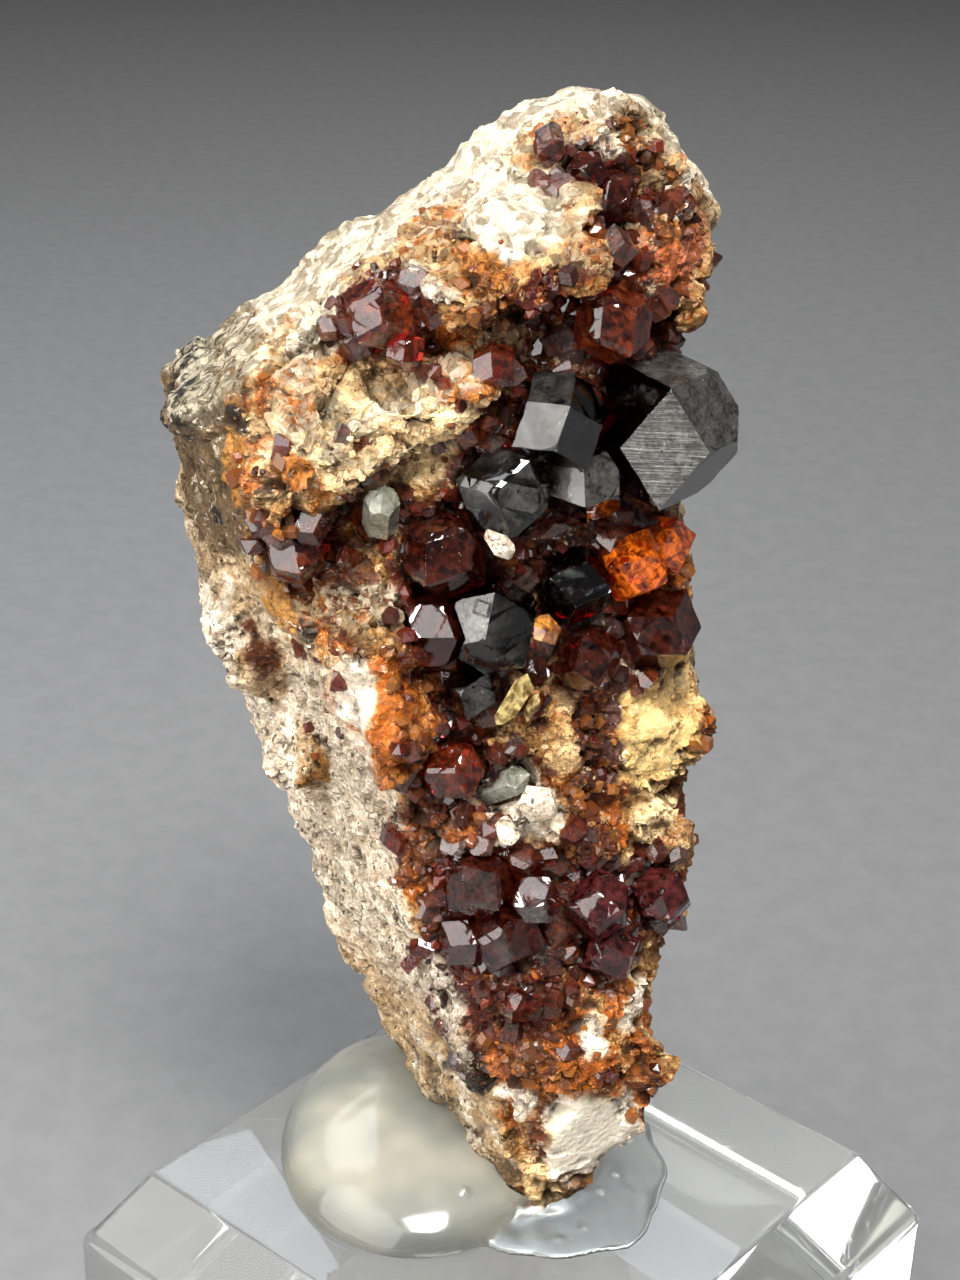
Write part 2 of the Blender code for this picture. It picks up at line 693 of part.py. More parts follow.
def glue_drop(stone, stand, parts, look):
    """A domed drop of clear glue and its thin film, moulded round the foot of the stone."""
    shape = bmesh.new()
    add_drop(shape, *GLUE_DROP)
    item = new_object("glue", shape, bpy.context.scene.collection)
    shape = bmesh.new()
    add_drop(shape, *GLUE_FILM)
    film = new_object("film", shape, bpy.context.scene.collection)
    combine(item, film, "UNION")
    bpy.data.objects.remove(film)
    mould = stone.copy()
    mould.data = stone.data.copy()
    mould.parent = None
    bpy.context.scene.collection.objects.link(mould)
    room = mould.modifiers.new("room for the stone", "DISPLACE")
    room.strength = GLUE_GAP
    room.mid_level = 0
    apply_modifiers(mould)
    remesh(mould, MOULD_VOXEL)
    decimate(mould, MOULD_FACES)
    for vertex in mould.data.vertices:
        if vertex.co.z < GLUE_WALL_TOP:
            vertex.co.z = -GLUE_WALL_TOP
    combine(item, mould, "DIFFERENCE", crossing=True)
    bpy.data.objects.remove(mould)
    keep_largest(item)
    return place_in_frame(item, stand, parts, look, "mounting_glue")


def acrylic_block(parts, look):
    """A square block with rounded upright corners and a bevel round its top."""
    shape = bmesh.new()
    bmesh.ops.create_cube(shape, size=1)
    straight = BLOCK_HEIGHT - BEVEL_DOWN
    for vertex in shape.verts:
        vertex.co.x *= BLOCK_SIDE
        vertex.co.y *= BLOCK_SIDE
        vertex.co.z = (vertex.co.z + 0.5) * straight
    upright = [edge for edge in shape.edges if abs(edge.verts[0].co.z - edge.verts[1].co.z) > straight / 2]
    bmesh.ops.bevel(
        shape,
        geom=upright,
        offset=CORNER_ROUND,
        segments=CORNER_SEGMENTS,
        profile=0.5,
        affect="EDGES",
    )
    top = max(shape.faces, key=lambda face: face.calc_center_median().z)
    raised = bmesh.ops.extrude_face_region(shape, geom=[top])
    bmesh.ops.delete(shape, geom=[top], context="FACES_ONLY")
    shrink = (BLOCK_SIDE - 2 * BEVEL_IN) / BLOCK_SIDE
    for vertex in (part for part in raised["geom"] if isinstance(part, bmesh.types.BMVert)):
        vertex.co.x *= shrink
        vertex.co.y *= shrink
        vertex.co.z += BEVEL_DOWN
    bmesh.ops.recalc_face_normals(shape, faces=shape.faces)
    return new_object("acrylic_block", shape, parts, look)


def main():
    for item in list(bpy.data.objects):
        bpy.data.objects.remove(item)
    parts = collection("garnet specimen")
    helpers = collection("helpers")
    looks = {
        "acrylic": material("clear acrylic", ACRYLIC_COLOUR, 0.02, 1.0),
        "glue": material("clear glue", GLUE_COLOUR, 0.12, 0.9),
        "stone": material("matrix stone", STONE_COLOUR, 0.8),
        "garnet": material("garnet", GARNET_COLOUR, 0.08),
        "quartz": material("smoky quartz", QUARTZ_COLOUR, 0.1, 0.6),
    }
    stand = bpy.data.objects.new("display frame", None)
    stand.location = (0, 0, BLOCK_HEIGHT)
    stand.rotation_euler = (0, 0, STONE_TURN)
    parts.objects.link(stand)
    acrylic_block(parts, looks["acrylic"])
    stone = stone_and_crystals(stand, parts, helpers, looks)
    glue_drop(stone, stand, parts, looks["glue"])


main()
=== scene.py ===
"""The looks of a garnet specimen in its rock matrix, glued to a clear bevelled block.

The file is laid out as an add-on and is run as a script. Each operator makes one piece, or one group
of like pieces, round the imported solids. Shapes on the stone are given in its display frame in mm: X to
the right, -Y towards the viewer and Z up from the top of the block.
"""

import math

import bmesh
import bpy
import numpy as np
from mathutils import Matrix, Vector
from mathutils.bvhtree import BVHTree


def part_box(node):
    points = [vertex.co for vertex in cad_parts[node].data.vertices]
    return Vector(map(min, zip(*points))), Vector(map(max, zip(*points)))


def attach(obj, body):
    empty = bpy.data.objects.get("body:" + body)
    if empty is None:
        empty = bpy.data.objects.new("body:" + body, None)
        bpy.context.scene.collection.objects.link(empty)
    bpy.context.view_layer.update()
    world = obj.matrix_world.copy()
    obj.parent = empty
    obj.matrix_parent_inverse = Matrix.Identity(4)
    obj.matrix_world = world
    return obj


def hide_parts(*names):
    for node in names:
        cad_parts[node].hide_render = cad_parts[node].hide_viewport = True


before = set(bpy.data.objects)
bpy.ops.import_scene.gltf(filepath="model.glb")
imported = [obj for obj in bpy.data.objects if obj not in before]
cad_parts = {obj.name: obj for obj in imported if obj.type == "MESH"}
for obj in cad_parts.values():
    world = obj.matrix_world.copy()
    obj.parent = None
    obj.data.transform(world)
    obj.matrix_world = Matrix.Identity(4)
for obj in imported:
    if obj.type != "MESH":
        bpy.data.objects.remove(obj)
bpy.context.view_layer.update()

bl_info = {
    "name": "Garnet in Matrix",
    "version": (1, 0, 0),
    "blender": (4, 5, 0),
    "location": "View3D > Sidebar > Specimen",
    "description": "Builds the stone, crystals, glue and clear block of a garnet specimen",
    "category": "Object",
}

MM = 0.001
BODY = "root"

# The display frame on the block
STONE_TURN = math.radians(40.7)
BLOCK_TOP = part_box("acrylic_block")[1].z
TO_ROW = np.array(
    (
        (math.cos(STONE_TURN), -math.sin(STONE_TURN), 0.0),
        (math.sin(STONE_TURN), math.cos(STONE_TURN), 0.0),
        (0.0, 0.0, 1.0),
    )
)

# The camera of the photograph: its place over the middle of the block's top in mm, its angles in
# degrees, its focal length in pixels, and the height of the frame in pixels
CAMERA_PLACE = (70.10, -85.13, 89.29)
CAMERA_ANGLES = (40.724, 25.862, 1.221)
CAMERA_FOCAL = 2231.83
FRAME_HEIGHT = 1280
SENSOR_HEIGHT = 36.0

# The softboxes, by the setting that holds their power: place in the display frame in mm, side in m
# and colour, and the height in mm of the spot that they all face
COOL = (0.80, 0.89, 1.0)
WARM = (1.0, 0.985, 0.96)
LIGHTS = {
    "top": ((-115.0, 175.0, 265.0), 0.18, COOL),
    "left": ((-205.0, -160.0, 150.0), 0.38, WARM),
    "back": ((40.0, 330.0, 360.0), 0.42, WARM),
    "front": ((40.0, -190.0, 340.0), 0.12, WARM),
}
LIT_HEIGHT = 35.0
# The room's tones by height, from 0 to 1
ROOM_TONES = ((0.0, 0.26), (0.10, 0.22), (0.25, 0.10), (1.0, 0.10))
FLOOR_SIDE = 6.0
FLOOR_GAP = 0.2 * MM

# The clear block: the radius of its upright corners, and how far the bevel at its top runs in and down
BLOCK_CORNER = 1.2 * MM
SLOPE_IN = 2.8 * MM
SLOPE_DOWN = 4.4 * MM

# How strongly each clear thing bends light
GARNET_IOR = 1.76
QUARTZ_IOR = 1.54
GLUE_IOR = 1.5
ACRYLIC_IOR = 1.49

# The finishes that lie over the cream rock, in the order in which they cover each other
FINISHES = "tan grey cream ochre pink yellow orange brown purple red green black white".split()

# Where those finishes lie on the front of the stone: middle x and z, half width and half height in mm
PATCHES = {
    "white": (
        (-11.0, 55.0, 2.0, 1.6), (-1.0, 61.0, 3.1, 1.5), (3.0, 65.5, 1.5, 1.2), (3.5, 63.5, 0.8, 0.7),
        (7.5, 61.0, 0.6, 1.2), (-5.5, 57.5, 1.5, 0.8), (-17.0, 36.4, 1.6, 1.2), (-9.0, 36.5, 1.1, 2.4),
        (0.0, 28.5, 2.0, 2.2), (4.5, 15.0, 0.8, 1.2), (6.5, 15.5, 0.8, 1.3), (4.5, 6.5, 2.5, 3.8),
        (0.0, 10.0, 1.2, 1.1),
    ),
    "cream": (
        (-7.5, 49.6, 6.2, 3.2), (-4.2, 51.8, 2.4, 1.6), (-12.0, 49.0, 1.9, 1.5), (-5.5, 48.0, 2.3, 1.2),
        (7.5, 26.5, 1.1, 1.6),
    ),
    "brown": (
        # The first brown patch is painted shadow under the cream ledge
        (-7.0, 45.0, 4.6, 1.0), (-0.8, 55.9, 2.6, 1.7), (6.0, 62.0, 0.6, 1.3), (4.5, 65.5, 1.6, 0.6),
        (-10.5, 41.5, 2.2, 3.1), (3.5, 49.5, 5.0, 3.5), (3.0, 25.5, 2.5, 2.2), (-5.5, 26.5, 2.1, 3.2),
        (2.0, 7.0, 1.0, 2.5),
    ),
    "black": (
        # The first black patch is painted shadow under the cream ledge
        (-4.6, 44.6, 2.2, 0.6), (-18.6, 49.9, 0.8, 1.2), (-15.0, 50.2, 0.5, 0.6),
        (-18.0, 47.4, 0.5, 0.5), (-19.4, 47.8, 0.35, 1.0), (-16.4, 43.8, 0.4, 0.9),
        (-18.1, 35.6, 0.8, 1.0), (-12.4, 43.6, 0.6, 0.8), (-11.6, 38.4, 0.5, 0.9),
        (-9.5, 46.0, 1.1, 0.5), (2.5, 40.5, 2.1, 4.4), (-2.5, 11.5, 1.3, 3.0),
        (0.0, 1.0, 1.0, 1.0),
    ),
    "ochre": (
        (-3.5, 59.5, 2.2, 1.5), (1.0, 54.5, 1.3, 1.6), (-15.0, 48.6, 0.6, 2.4), (-11.8, 41.0, 2.4, 4.0),
        (-5.8, 31.0, 1.5, 2.2),
    ),
    "red": (
        (0.5, 57.0, 1.3, 2.1), (-1.5, 50.0, 1.6, 2.2), (0.5, 45.0, 5.0, 7.0), (5.0, 35.5, 1.2, 0.9),
        (-1.5, 18.5, 4.2, 5.6),
    ),
    "orange": (
        (-1.5, 55.5, 1.4, 1.9), (0.0, 64.5, 1.4, 0.9), (-11.5, 51.5, 0.9, 0.9), (-12.0, 48.5, 1.1, 1.0),
        (-4.0, 53.0, 1.7, 0.7), (-7.5, 34.5, 2.7, 3.7), (6.5, 42.0, 2.7, 3.6), (2.0, 13.0, 3.9, 3.3),
        (7.0, 9.5, 1.3, 3.3),
    ),
    "pink": ((6.5, 58.0, 1.9, 1.8),),
    "green": ((4.5, 63.5, 1.1, 1.3),),
    "tan": (
        (-16.0, 50.8, 3.2, 2.6), (-17.0, 45.0, 2.4, 4.5), (-18.6, 49.4, 2.2, 3.0), (1.0, 1.5, 2.9, 2.0),
    ),
    "grey": (
        (-17.8, 50.0, 1.3, 1.4), (-16.2, 50.3, 0.9, 0.7), (-18.5, 47.4, 1.2, 0.8),
    ),
    "yellow": ((7.0, 32.5, 2.5, 3.7),),
    "purple": ((4.0, 31.5, 1.5, 3.3),),
}

# The edge between the stone's left side and its front: height z and place x in mm
EDGE_HEIGHTS = (-0.4, 4.0, 8.0, 12.5, 17.5, 23.7, 30.0, 34.0, 39.0, 45.5, 51.0, 56.0, 61.0, 65.2)
EDGE_PLACES = (0.4, 0.6, -1.0, -2.4, -3.7, -6.6, -6.4, -8.4, -11.8, -14.6, -14.4, -13.0, -8.0, -1.8)

# Blotches over the back, the left side and the front: finish, size in mm, seed and where they start
BACK_STAINS = (("ochre", 5.0, 41, 0.25), ("brown", 3.6, 42, 0.45), ("grey", 4.2, 43, 0.25))
LEFT_STAINS = (("tan", 3.4, 44, 0.15), ("grey", 2.2, 45, 0.35), ("white", 3.0, 46, 0.25))
FRONT_STAINS = (("orange", 2.6, 51, 0.15), ("brown", 1.9, 52, 0.30), ("cream", 2.4, 53, 0.2))

# Flat cleavage faces where the relief is low: middle x and z, half width and half height in mm, and
# how flat, to 1
FLAT_AREAS = (
    (4.2, 6.8, 2.7, 3.9, 1.0),
    (-1.0, 60.5, 3.2, 1.6, 0.6),
    (-8.0, 35.5, 2.4, 3.6, 0.5),
    (-15.5, 53.5, 2.2, 1.8, 0.4),
    (7.0, 32.5, 2.4, 3.4, 0.45),
)

# The looks of the garnets: the colour that they let through, or None for the setting, how much of the
# other colours they take out in a metre, and the colour and the share of the cracked core
GARNET_LOOKS = {
    "black": (None, 4200.0, (0.02, 0.004, 0.003), 0.0),
    "dark": (None, 2800.0, (0.13, 0.022, 0.010), 0.45),
    "crust": (None, 2600.0, (0.20, 0.04, 0.012), 0.6),
    "plum": ((0.62, 0.12, 0.12), 1800.0, (0.20, 0.035, 0.035), 0.5),
    "red": (None, 1500.0, (0.28, 0.05, 0.014), 0.50),
    "orange": ((0.97, 0.34, 0.06), 800.0, (1.0, 0.20, 0.012), 1.0),
    "amber": ((0.95, 0.42, 0.10), 500.0, (0.85, 0.38, 0.06), 0.7),
}
GARNETS = {
    "garnet_large": "black",
    "garnet_group_centre": "black",
    "garnet_left_upper": "dark",
    "garnet_left_lower": "dark",
    "garnet_etched": "black",
    "garnet_dark_cleft": "black",
    "garnet_cleft_foot": "dark",
    "garnet_orange": "orange",
    "garnet_right_dark": "dark",
    "garnet_behind": "red",
    "garnet_red_drop": "red",
    "garnet_right_edge": "plum",
    "garnet_purple_lower": "plum",
    "garnet_foot_cluster": "dark",
    "garnet_top_pair": "dark",
    "garnet_upper_left": "red",
    "garnet_left_hollow": "red",
}
QUARTZ = ("quartz_left", "quartz_centre")


def to_row(spots):
    """Points of the display frame, in mm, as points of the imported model."""
    return np.asarray(spots) @ TO_ROW.T * MM + np.array((0.0, 0.0, BLOCK_TOP))


def to_display(points):
    """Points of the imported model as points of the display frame, in mm."""
    return (np.asarray(points) - np.array((0.0, 0.0, BLOCK_TOP))) @ TO_ROW / MM


# Numbers over space


def hashed(cells, seed, count):
    """Even random numbers from 0 to 1 for cells of a lattice, the same on each run."""
    mixed = np.full(cells.shape[:-1], seed * 7919 + 17, np.uint64)
    for axis, prime in enumerate((73856093, 19349663, 83492791)):
        mixed = mixed ^ (cells[..., axis].astype(np.int64).astype(np.uint64) * np.uint64(prime))
    numbers = []
    for _ in range(count):
        mixed = (mixed + np.uint64(0x9E3779B97F4A7C15)) & np.uint64(0xFFFFFFFFFFFFFFFF)
        value = (mixed ^ (mixed >> np.uint64(30))) * np.uint64(0xBF58476D1CE4E5B9)
        value = (value ^ (value >> np.uint64(27))) * np.uint64(0x94D049BB133111EB)
        value = value ^ (value >> np.uint64(31))
        numbers.append((value >> np.uint64(11)).astype(float) / float(1 << 53))
    return np.stack(numbers, axis=-1)


def smooth(value, low, high):
    """0 below low, 1 above high, and an eased step between."""
    t = np.clip((value - low) / (high - low), 0.0, 1.0)
    return t * t * (3.0 - 2.0 * t)


def waves(spots, size, seed):
    """Soft noise from -1 to 1 with bumps of that size."""
    q = spots / size
    base = np.floor(q)
    part = q - base
    part = part * part * (3.0 - 2.0 * part)
    total = np.zeros(len(spots))
    for corner in range(8):
        step = np.array([(corner >> axis) & 1 for axis in range(3)])
        share = np.prod(np.where(step, part, 1.0 - part), axis=1)
        total += share * hashed(base + step, seed, 1)[:, 0]
    return total * 2.0 - 1.0


def broken_faces(spots, size, seed, stretch=(1.0, 1.0, 1.0)):
    """The nearest grain of a random packing: the height of its tilted face, how near its edge the
    point is, from 0 to 1, a number of its own, and the distance to its middle."""
    q = spots / (size * np.array(stretch))
    base = np.floor(q)
    nearest = np.full(len(q), 9.0)
    second = np.full(len(q), 9.0)
    offset = np.zeros_like(q)
    own = np.zeros((len(q), 4))
    for number in range(27):
        step = np.array((number % 3 - 1, number // 3 % 3 - 1, number // 9 - 1))
        cell = base + step
        random = hashed(cell, seed, 7)
        away = q - cell - random[:, :3]
        distance = np.sqrt((away**2).sum(axis=1))
        closer = distance < nearest
        second = np.where(closer, nearest, np.minimum(second, distance))
        nearest = np.where(closer, distance, nearest)
        offset[closer] = away[closer]
        own[closer] = random[closer, 3:]
    tilt = (offset * (own[:, :3] * 2.0 - 1.0)).sum(axis=1) * size
    edge = 1.0 - np.clip((second - nearest) / 0.22, 0.0, 1.0)
    return tilt, edge, own[:, 3], nearest


# Meshes


def deselect():
    """Leaves nothing selected and object mode on."""
    if bpy.context.object and bpy.context.object.mode != "OBJECT":
        bpy.ops.object.mode_set(mode="OBJECT")
    bpy.ops.object.select_all(action="DESELECT")


def take(piece):
    """Makes this piece the only one that operators act on."""
    deselect()
    piece.select_set(True)
    bpy.context.view_layer.objects.active = piece


def finish_place(piece):
    """Puts the piece's place into its mesh."""
    take(piece)
    bpy.ops.object.transform_apply(location=True, rotation=True, scale=True)


def apply_modifiers(piece):
    """Applies every modifier of a piece."""
    take(piece)
    for modifier in list(piece.modifiers):
        bpy.ops.object.modifier_apply(modifier=modifier.name)


def edit(piece):
    """Opens a piece for editing with all of it selected."""
    take(piece)
    bpy.ops.object.mode_set(mode="EDIT")
    bpy.ops.mesh.select_all(action="SELECT")


def new_piece(name, mesh):
    """A new object in the scene."""
    piece = bpy.data.objects.new(name, mesh)
    bpy.context.scene.collection.objects.link(piece)
    return piece


def node_copy(node, name):
    """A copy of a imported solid, with its loose triangles merged into one closed skin."""
    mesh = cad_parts[node].data.copy()
    mesh.materials.clear()
    piece = new_piece(name, mesh)
    edit(piece)
    bpy.ops.mesh.remove_doubles(threshold=0.002 * MM)
    bpy.ops.mesh.customdata_custom_splitnormals_clear()
    bpy.ops.mesh.normals_make_consistent(inside=False)
    deselect()
    return piece


def remesh(piece, voxel):
    """Gives a piece an even skin of small faces."""
    modifier = piece.modifiers.new("even skin", "REMESH")
    modifier.mode = "VOXEL"
    modifier.voxel_size = voxel
    apply_modifiers(piece)


def wear_edges(piece, width, sharp, shaded):
    """Rounds the edges sharper than one angle and smooths the shading, but not over another angle."""
    modifier = piece.modifiers.new("worn edges", "BEVEL")
    modifier.width = width
    modifier.segments = 2
    modifier.limit_method = "ANGLE"
    modifier.angle_limit = math.radians(sharp)
    apply_modifiers(piece)
    smooth_shading(piece, shaded)


def read(items, name, width, kind=float):
    """A value of each item of a mesh, as the rows of an array."""
    values = np.empty(len(items) * width, kind)
    items.foreach_get(name, values)
    return values.reshape(-1, width)


def points_of(piece):
    """The points and normals of a mesh as arrays."""
    return read(piece.data.vertices, "co", 3), read(piece.data.vertex_normals, "vector", 3)


def set_points(piece, points):
    """Moves the points of a mesh."""
    piece.data.vertices.foreach_set("co", np.ascontiguousarray(points).ravel())
    piece.data.update()


def add_numbers(mesh, name, values):
    """Stores one number per point for the materials."""
    layer = mesh.attributes.new(name, "FLOAT", "POINT")
    layer.data.foreach_set("value", np.ascontiguousarray(values, dtype=np.float32))


def numbers_of(mesh, name):
    """The numbers stored for the materials."""
    return read(mesh.attributes[name].data, "value", 1, np.float32)[:, 0]


def smooth_shading(piece, degrees):
    """Smooths the shading, but not over edges sharper than this."""
    take(piece)
    bpy.ops.object.shade_smooth_by_angle(angle=math.radians(degrees))


def hand_over(piece, look, nodes=()):
    """Gives a finished piece its material and its body, and hides the solids that it stands for."""
    piece.data.materials.clear()
    piece.data.materials.append(look)
    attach(piece, BODY)
    if nodes:
        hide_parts(*nodes)
    deselect()


# Materials


class Value:
    """A shader output whose arithmetic adds Math nodes."""

    def __init__(self, finish, socket):
        self.finish = finish
        self.socket = socket

    def math(self, operation, *others):
        inputs = dict(enumerate((self,) + others))
        return self.finish.node("ShaderNodeMath", {"operation": operation}, inputs)

    def __add__(self, other):
        return self.math("ADD", other)

    __radd__ = __add__

    def __mul__(self, other):
        return self.math("MULTIPLY", other)

    __rmul__ = __mul__

    def __sub__(self, other):
        return self.math("SUBTRACT", other)

    def __rsub__(self, other):
        return self.finish.node("ShaderNodeMath", {"operation": "SUBTRACT"}, {0: other, 1: self})

    def between(self, low, high):
        """0 below low, 1 above high, and an eased step between."""
        settings = {"interpolation_type": "SMOOTHSTEP"}
        inputs = {"Value": self, "From Min": low, "From Max": high}
        return self.finish.node("ShaderNodeMapRange", settings, inputs)

    def held(self):
        """Kept from 0 to 1."""
        return self.finish.node("ShaderNodeMath", {"operation": "ADD", "use_clamp": True}, {0: self, 1: 0.0})


class Finish:
    """A material under construction."""

    def __init__(self, name):
        self.material = bpy.data.materials.new(name)
        self.material.use_nodes = True
        self.tree = self.material.node_tree
        self.shader = self.tree.nodes["Principled BSDF"]
        self.output = self.tree.nodes["Material Output"]
        self.top = Value(self, self.shader.outputs[0])
        self.colour = None
        place = self.node("ShaderNodeTexCoord", {}, {}, "Object")
        turn = {"Rotation": (0.0, 0.0, -STONE_TURN), "Scale": (1.0 / MM,) * 3}
        self.place = self.node("ShaderNodeMapping", {}, {"Vector": place, **turn}, "Vector")

    def join(self, target, value):
        """Links a value to a socket, or sets the socket to it."""
        if isinstance(value, Value):
            self.tree.links.new(value.socket, target)
        elif target.type == "RGBA" and len(value) == 3:
            target.default_value = (*value, 1.0)
        else:
            target.default_value = value

    def node(self, kind, settings, inputs, out=0):
        """Adds a node: its settings are set first, then its inputs are set or linked."""
        node = self.tree.nodes.new(kind)
        for name, value in settings.items():
            setattr(node, name, value)
        for name, value in inputs.items():
            self.join(node.inputs[name], value)
        return Value(self, node.outputs[out])

    def stretched(self, scale, turn=(0.0, 0.0, 0.0)):
        """The place on the piece, turned and stretched."""
        inputs = {"Vector": self.place, "Rotation": turn, "Scale": scale}
        return self.node("ShaderNodeMapping", {}, inputs, "Vector")

    def noise(self, scale, detail=3.0, roughness=0.55, place=None, warp=0.0, out="Fac"):
        """Soft noise with so many bumps to the mm."""
        inputs = {"Vector": place or self.place, "Scale": scale, "Detail": detail}
        inputs.update({"Roughness": roughness, "Distortion": warp})
        return self.node("ShaderNodeTexNoise", {}, inputs, out)

    def cells(self, scale, feature="F1", out="Distance", place=None):
        """A packing of cells with so many to the mm."""
        inputs = {"Vector": place or self.place, "Scale": scale}
        return self.node("ShaderNodeTexVoronoi", {"feature": feature}, inputs, out)

    def channel(self, colour, which):
        """One channel of a colour as a number."""
        return self.node("ShaderNodeSeparateColor", {}, {"Color": colour}, which)

    def number(self, name):
        """A number stored on the points of the piece."""
        return self.node("ShaderNodeAttribute", {"attribute_name": name}, {}, "Fac")

    def mix(self, share, first, second, blend="MIX"):
        """One colour laid over another."""
        settings = {"data_type": "RGBA", "blend_type": blend}
        return self.node("ShaderNodeMix", settings, {0: share, 6: first, 7: second}, 2)

    def lay(self, share, colour, blend="MIX"):
        """Lays a colour over the finish's colour so far."""
        self.colour = self.mix(share, self.colour, colour, blend)

    def bump(self, height, distance, strength):
        """Small relief of a height from 0 to 1, in metres at 1."""
        inputs = {"Height": height, "Distance": distance, "Strength": strength}
        return self.node("ShaderNodeBump", {}, inputs, "Normal")

    def surface(self, **sockets):
        """Sets or links the shader's own sockets."""
        for name, value in sockets.items():
            self.join(self.shader.inputs[name.replace("_", " ")], value)

    def cover(self, share, **sockets):
        """Lays another shader over the surface so far."""
        inputs = {name.replace("_", " "): value for name, value in sockets.items()}
        skin = self.node("ShaderNodeBsdfPrincipled", {}, inputs)
        self.top = self.node("ShaderNodeMixShader", {}, {0: share, 1: self.top, 2: skin})
        self.tree.links.new(self.top.socket, self.output.inputs["Surface"])

    def absorb(self, colour, density):
        """Gives the inside of a clear piece its colour."""
        volume = self.node("ShaderNodeVolumeAbsorption", {}, {"Color": colour, "Density": density})
        self.tree.links.new(volume.socket, self.output.inputs["Volume"])


def stone_finish(settings):
    """Granular rock: cream grains under stains, with painted shade in its crevices, pits and hollows,
    painted light on the flat facet at the foot, and sugary sparkle.
    """
    finish = Finish("granular rock")
    crack = finish.number("crack")
    front = finish.number("front")
    slope = finish.number("slope")
    level = finish.number("flat")
    finish.colour = finish.mix(finish.number("grain"), settings.rock_dark, settings.rock_light)
    finish.lay(finish.noise(0.9, 3.0, 0.6).between(0.40, 0.66) * 0.6, settings.rock_stain)

    # The finishes in their patches, ragged at the edge
    ragged = [finish.noise(scale, 3.0, 0.62) for scale in (2.2, 2.5, 2.8, 3.2)]
    for number, name in enumerate(FINISHES):
        veil = finish.number(name)
        share = (veil * 1.9 + ragged[number % len(ragged)] * 1.5 - 1.1).held() * veil.between(0.02, 0.25)
        finish.lay(share, getattr(settings, name))

    # Rust, burnt crust and bare rock
    pale = (finish.number("cream") + finish.number("white") + finish.number("yellow")).held()
    uneven = 1.0 - level * 0.9
    open_front = front * (1.0 - pale * 0.7) * uneven
    rusty = finish.noise(0.75, 4.0, 0.68, warp=1.2).between(0.52, 0.60) * open_front
    finish.lay(rusty * 0.75, settings.orange)
    burnt = finish.noise(1.15, 4.0, 0.70, warp=1.6).between(0.53, 0.60) * (open_front * 0.85 + 0.15)
    finish.lay(burnt * 0.9, settings.brown)
    bare = finish.noise(1.7, 3.0, 0.65, warp=0.8).between(0.60, 0.68)
    finish.lay(bare * 0.7, settings.white)

    # Slanting shards with dark seams between them
    bend = finish.noise(1.2, 1.0, 0.5, out="Color")
    drift = finish.node("ShaderNodeVectorMath", {"operation": "SCALE"}, {0: bend, "Scale": 0.9}, "Vector")
    lean = finish.stretched((0.55, 1.0, 1.5), (0.0, math.radians(28), 0.0))
    lean = finish.node("ShaderNodeVectorMath", {"operation": "ADD"}, {0: lean, 1: drift}, "Vector")
    shard = finish.channel(finish.cells(1.5, out="Color", place=lean), "Green")
    finish.lay(0.55, finish.mix(shard, (0.48, 0.34, 0.20), (1.35, 1.35, 1.35)), "MULTIPLY")
    seam = finish.cells(1.5, "DISTANCE_TO_EDGE", place=lean).between(0.11, 0.02)
    seam = seam * finish.noise(0.7, 3.0).between(0.50, 0.62) * (1.0 - slope * 0.9) * uneven
    finish.lay(seam * 0.7, (0.05, 0.028, 0.012))

    # Fine grains, specks, painted shade in small pits, and painted shade in the crevices, pits and hollows
    # of the skin
    tiny = finish.channel(finish.cells(3.1, out="Color"), "Red")
    broken = uneven * (1.0 - pale * front * 0.4)
    finish.lay(broken * 0.42, finish.mix(tiny, (0.30, 0.22, 0.14), (1.0, 1.0, 1.0)), "MULTIPLY")
    fine = finish.noise(6.0, 2.0, 0.75, warp=0.8).between(0.38, 0.60)
    finish.lay(broken * 0.55, finish.mix(fine, (0.34, 0.24, 0.15), (1.15, 1.15, 1.15)), "MULTIPLY")
    speck = finish.cells(2.3).between(0.18, 0.10) * finish.noise(0.6).between(0.46, 0.58) * uneven
    finish.lay(speck * 0.9, (0.03, 0.02, 0.012))
    # Painted shade: dark spots standing in for the shadow inside small pits on the left side
    pit_shade = finish.cells(2.3, place=finish.stretched((1.0, 1.0, 0.5))).between(0.30, 0.16)
    pit_shade = pit_shade * finish.noise(0.45, 3.0, 0.6).between(0.44, 0.56) * (1.0 - front - slope).held()
    finish.lay(pit_shade * 0.9, (0.035, 0.024, 0.014))
    inky = finish.noise(1.9, 3.0, 0.7, warp=1.0).between(0.60, 0.66) * (1.0 - slope * 0.7) * uneven
    finish.lay(inky * 0.85, (0.018, 0.011, 0.006))
    # Painted shade: the crevices, pits and hollows of the skin and the gap round the garnets are darkened
    finish.lay(crack * 0.95, (0.03, 0.015, 0.007))

    # The weathered slope at the top, painted light on the pale flat facet at the foot, and the warmer front
    dusk = finish.noise(1.3, 4.0, 0.7, warp=0.8).between(0.43, 0.55) * slope
    finish.lay(dusk * 0.85, (0.42, 0.37, 0.27))
    frosty = finish.channel(finish.cells(1.5, out="Color"), "Blue").between(0.35, 0.9) * slope
    finish.lay(frosty, (0.46, 0.43, 0.38), "MULTIPLY")
    # Painted light: the pale flat facet at the foot, which the lamps only graze, is made lighter and warmer
    finish.lay(level.between(0.75, 1.0) * finish.number("white") * 0.65, (1.0, 0.90, 0.72))
    finish.lay(front * (1.0 - pale), (1.0, 0.74, 0.42), "MULTIPLY")

    relief = finish.noise(5.5, 2.0, 0.65) * 0.8 + finish.cells(2.6) * 0.9
    finish.surface(
        Base_Color=finish.colour,
        Roughness=0.62 - tiny * 0.22 + crack * 0.2,
        Normal=finish.bump(relief, 0.09 * MM, 0.9),
        IOR=1.36,
        Coat_Weight=(finish.number("wet") * 0.2).held(),
        Coat_Roughness=0.15,
    )
    return finish.material


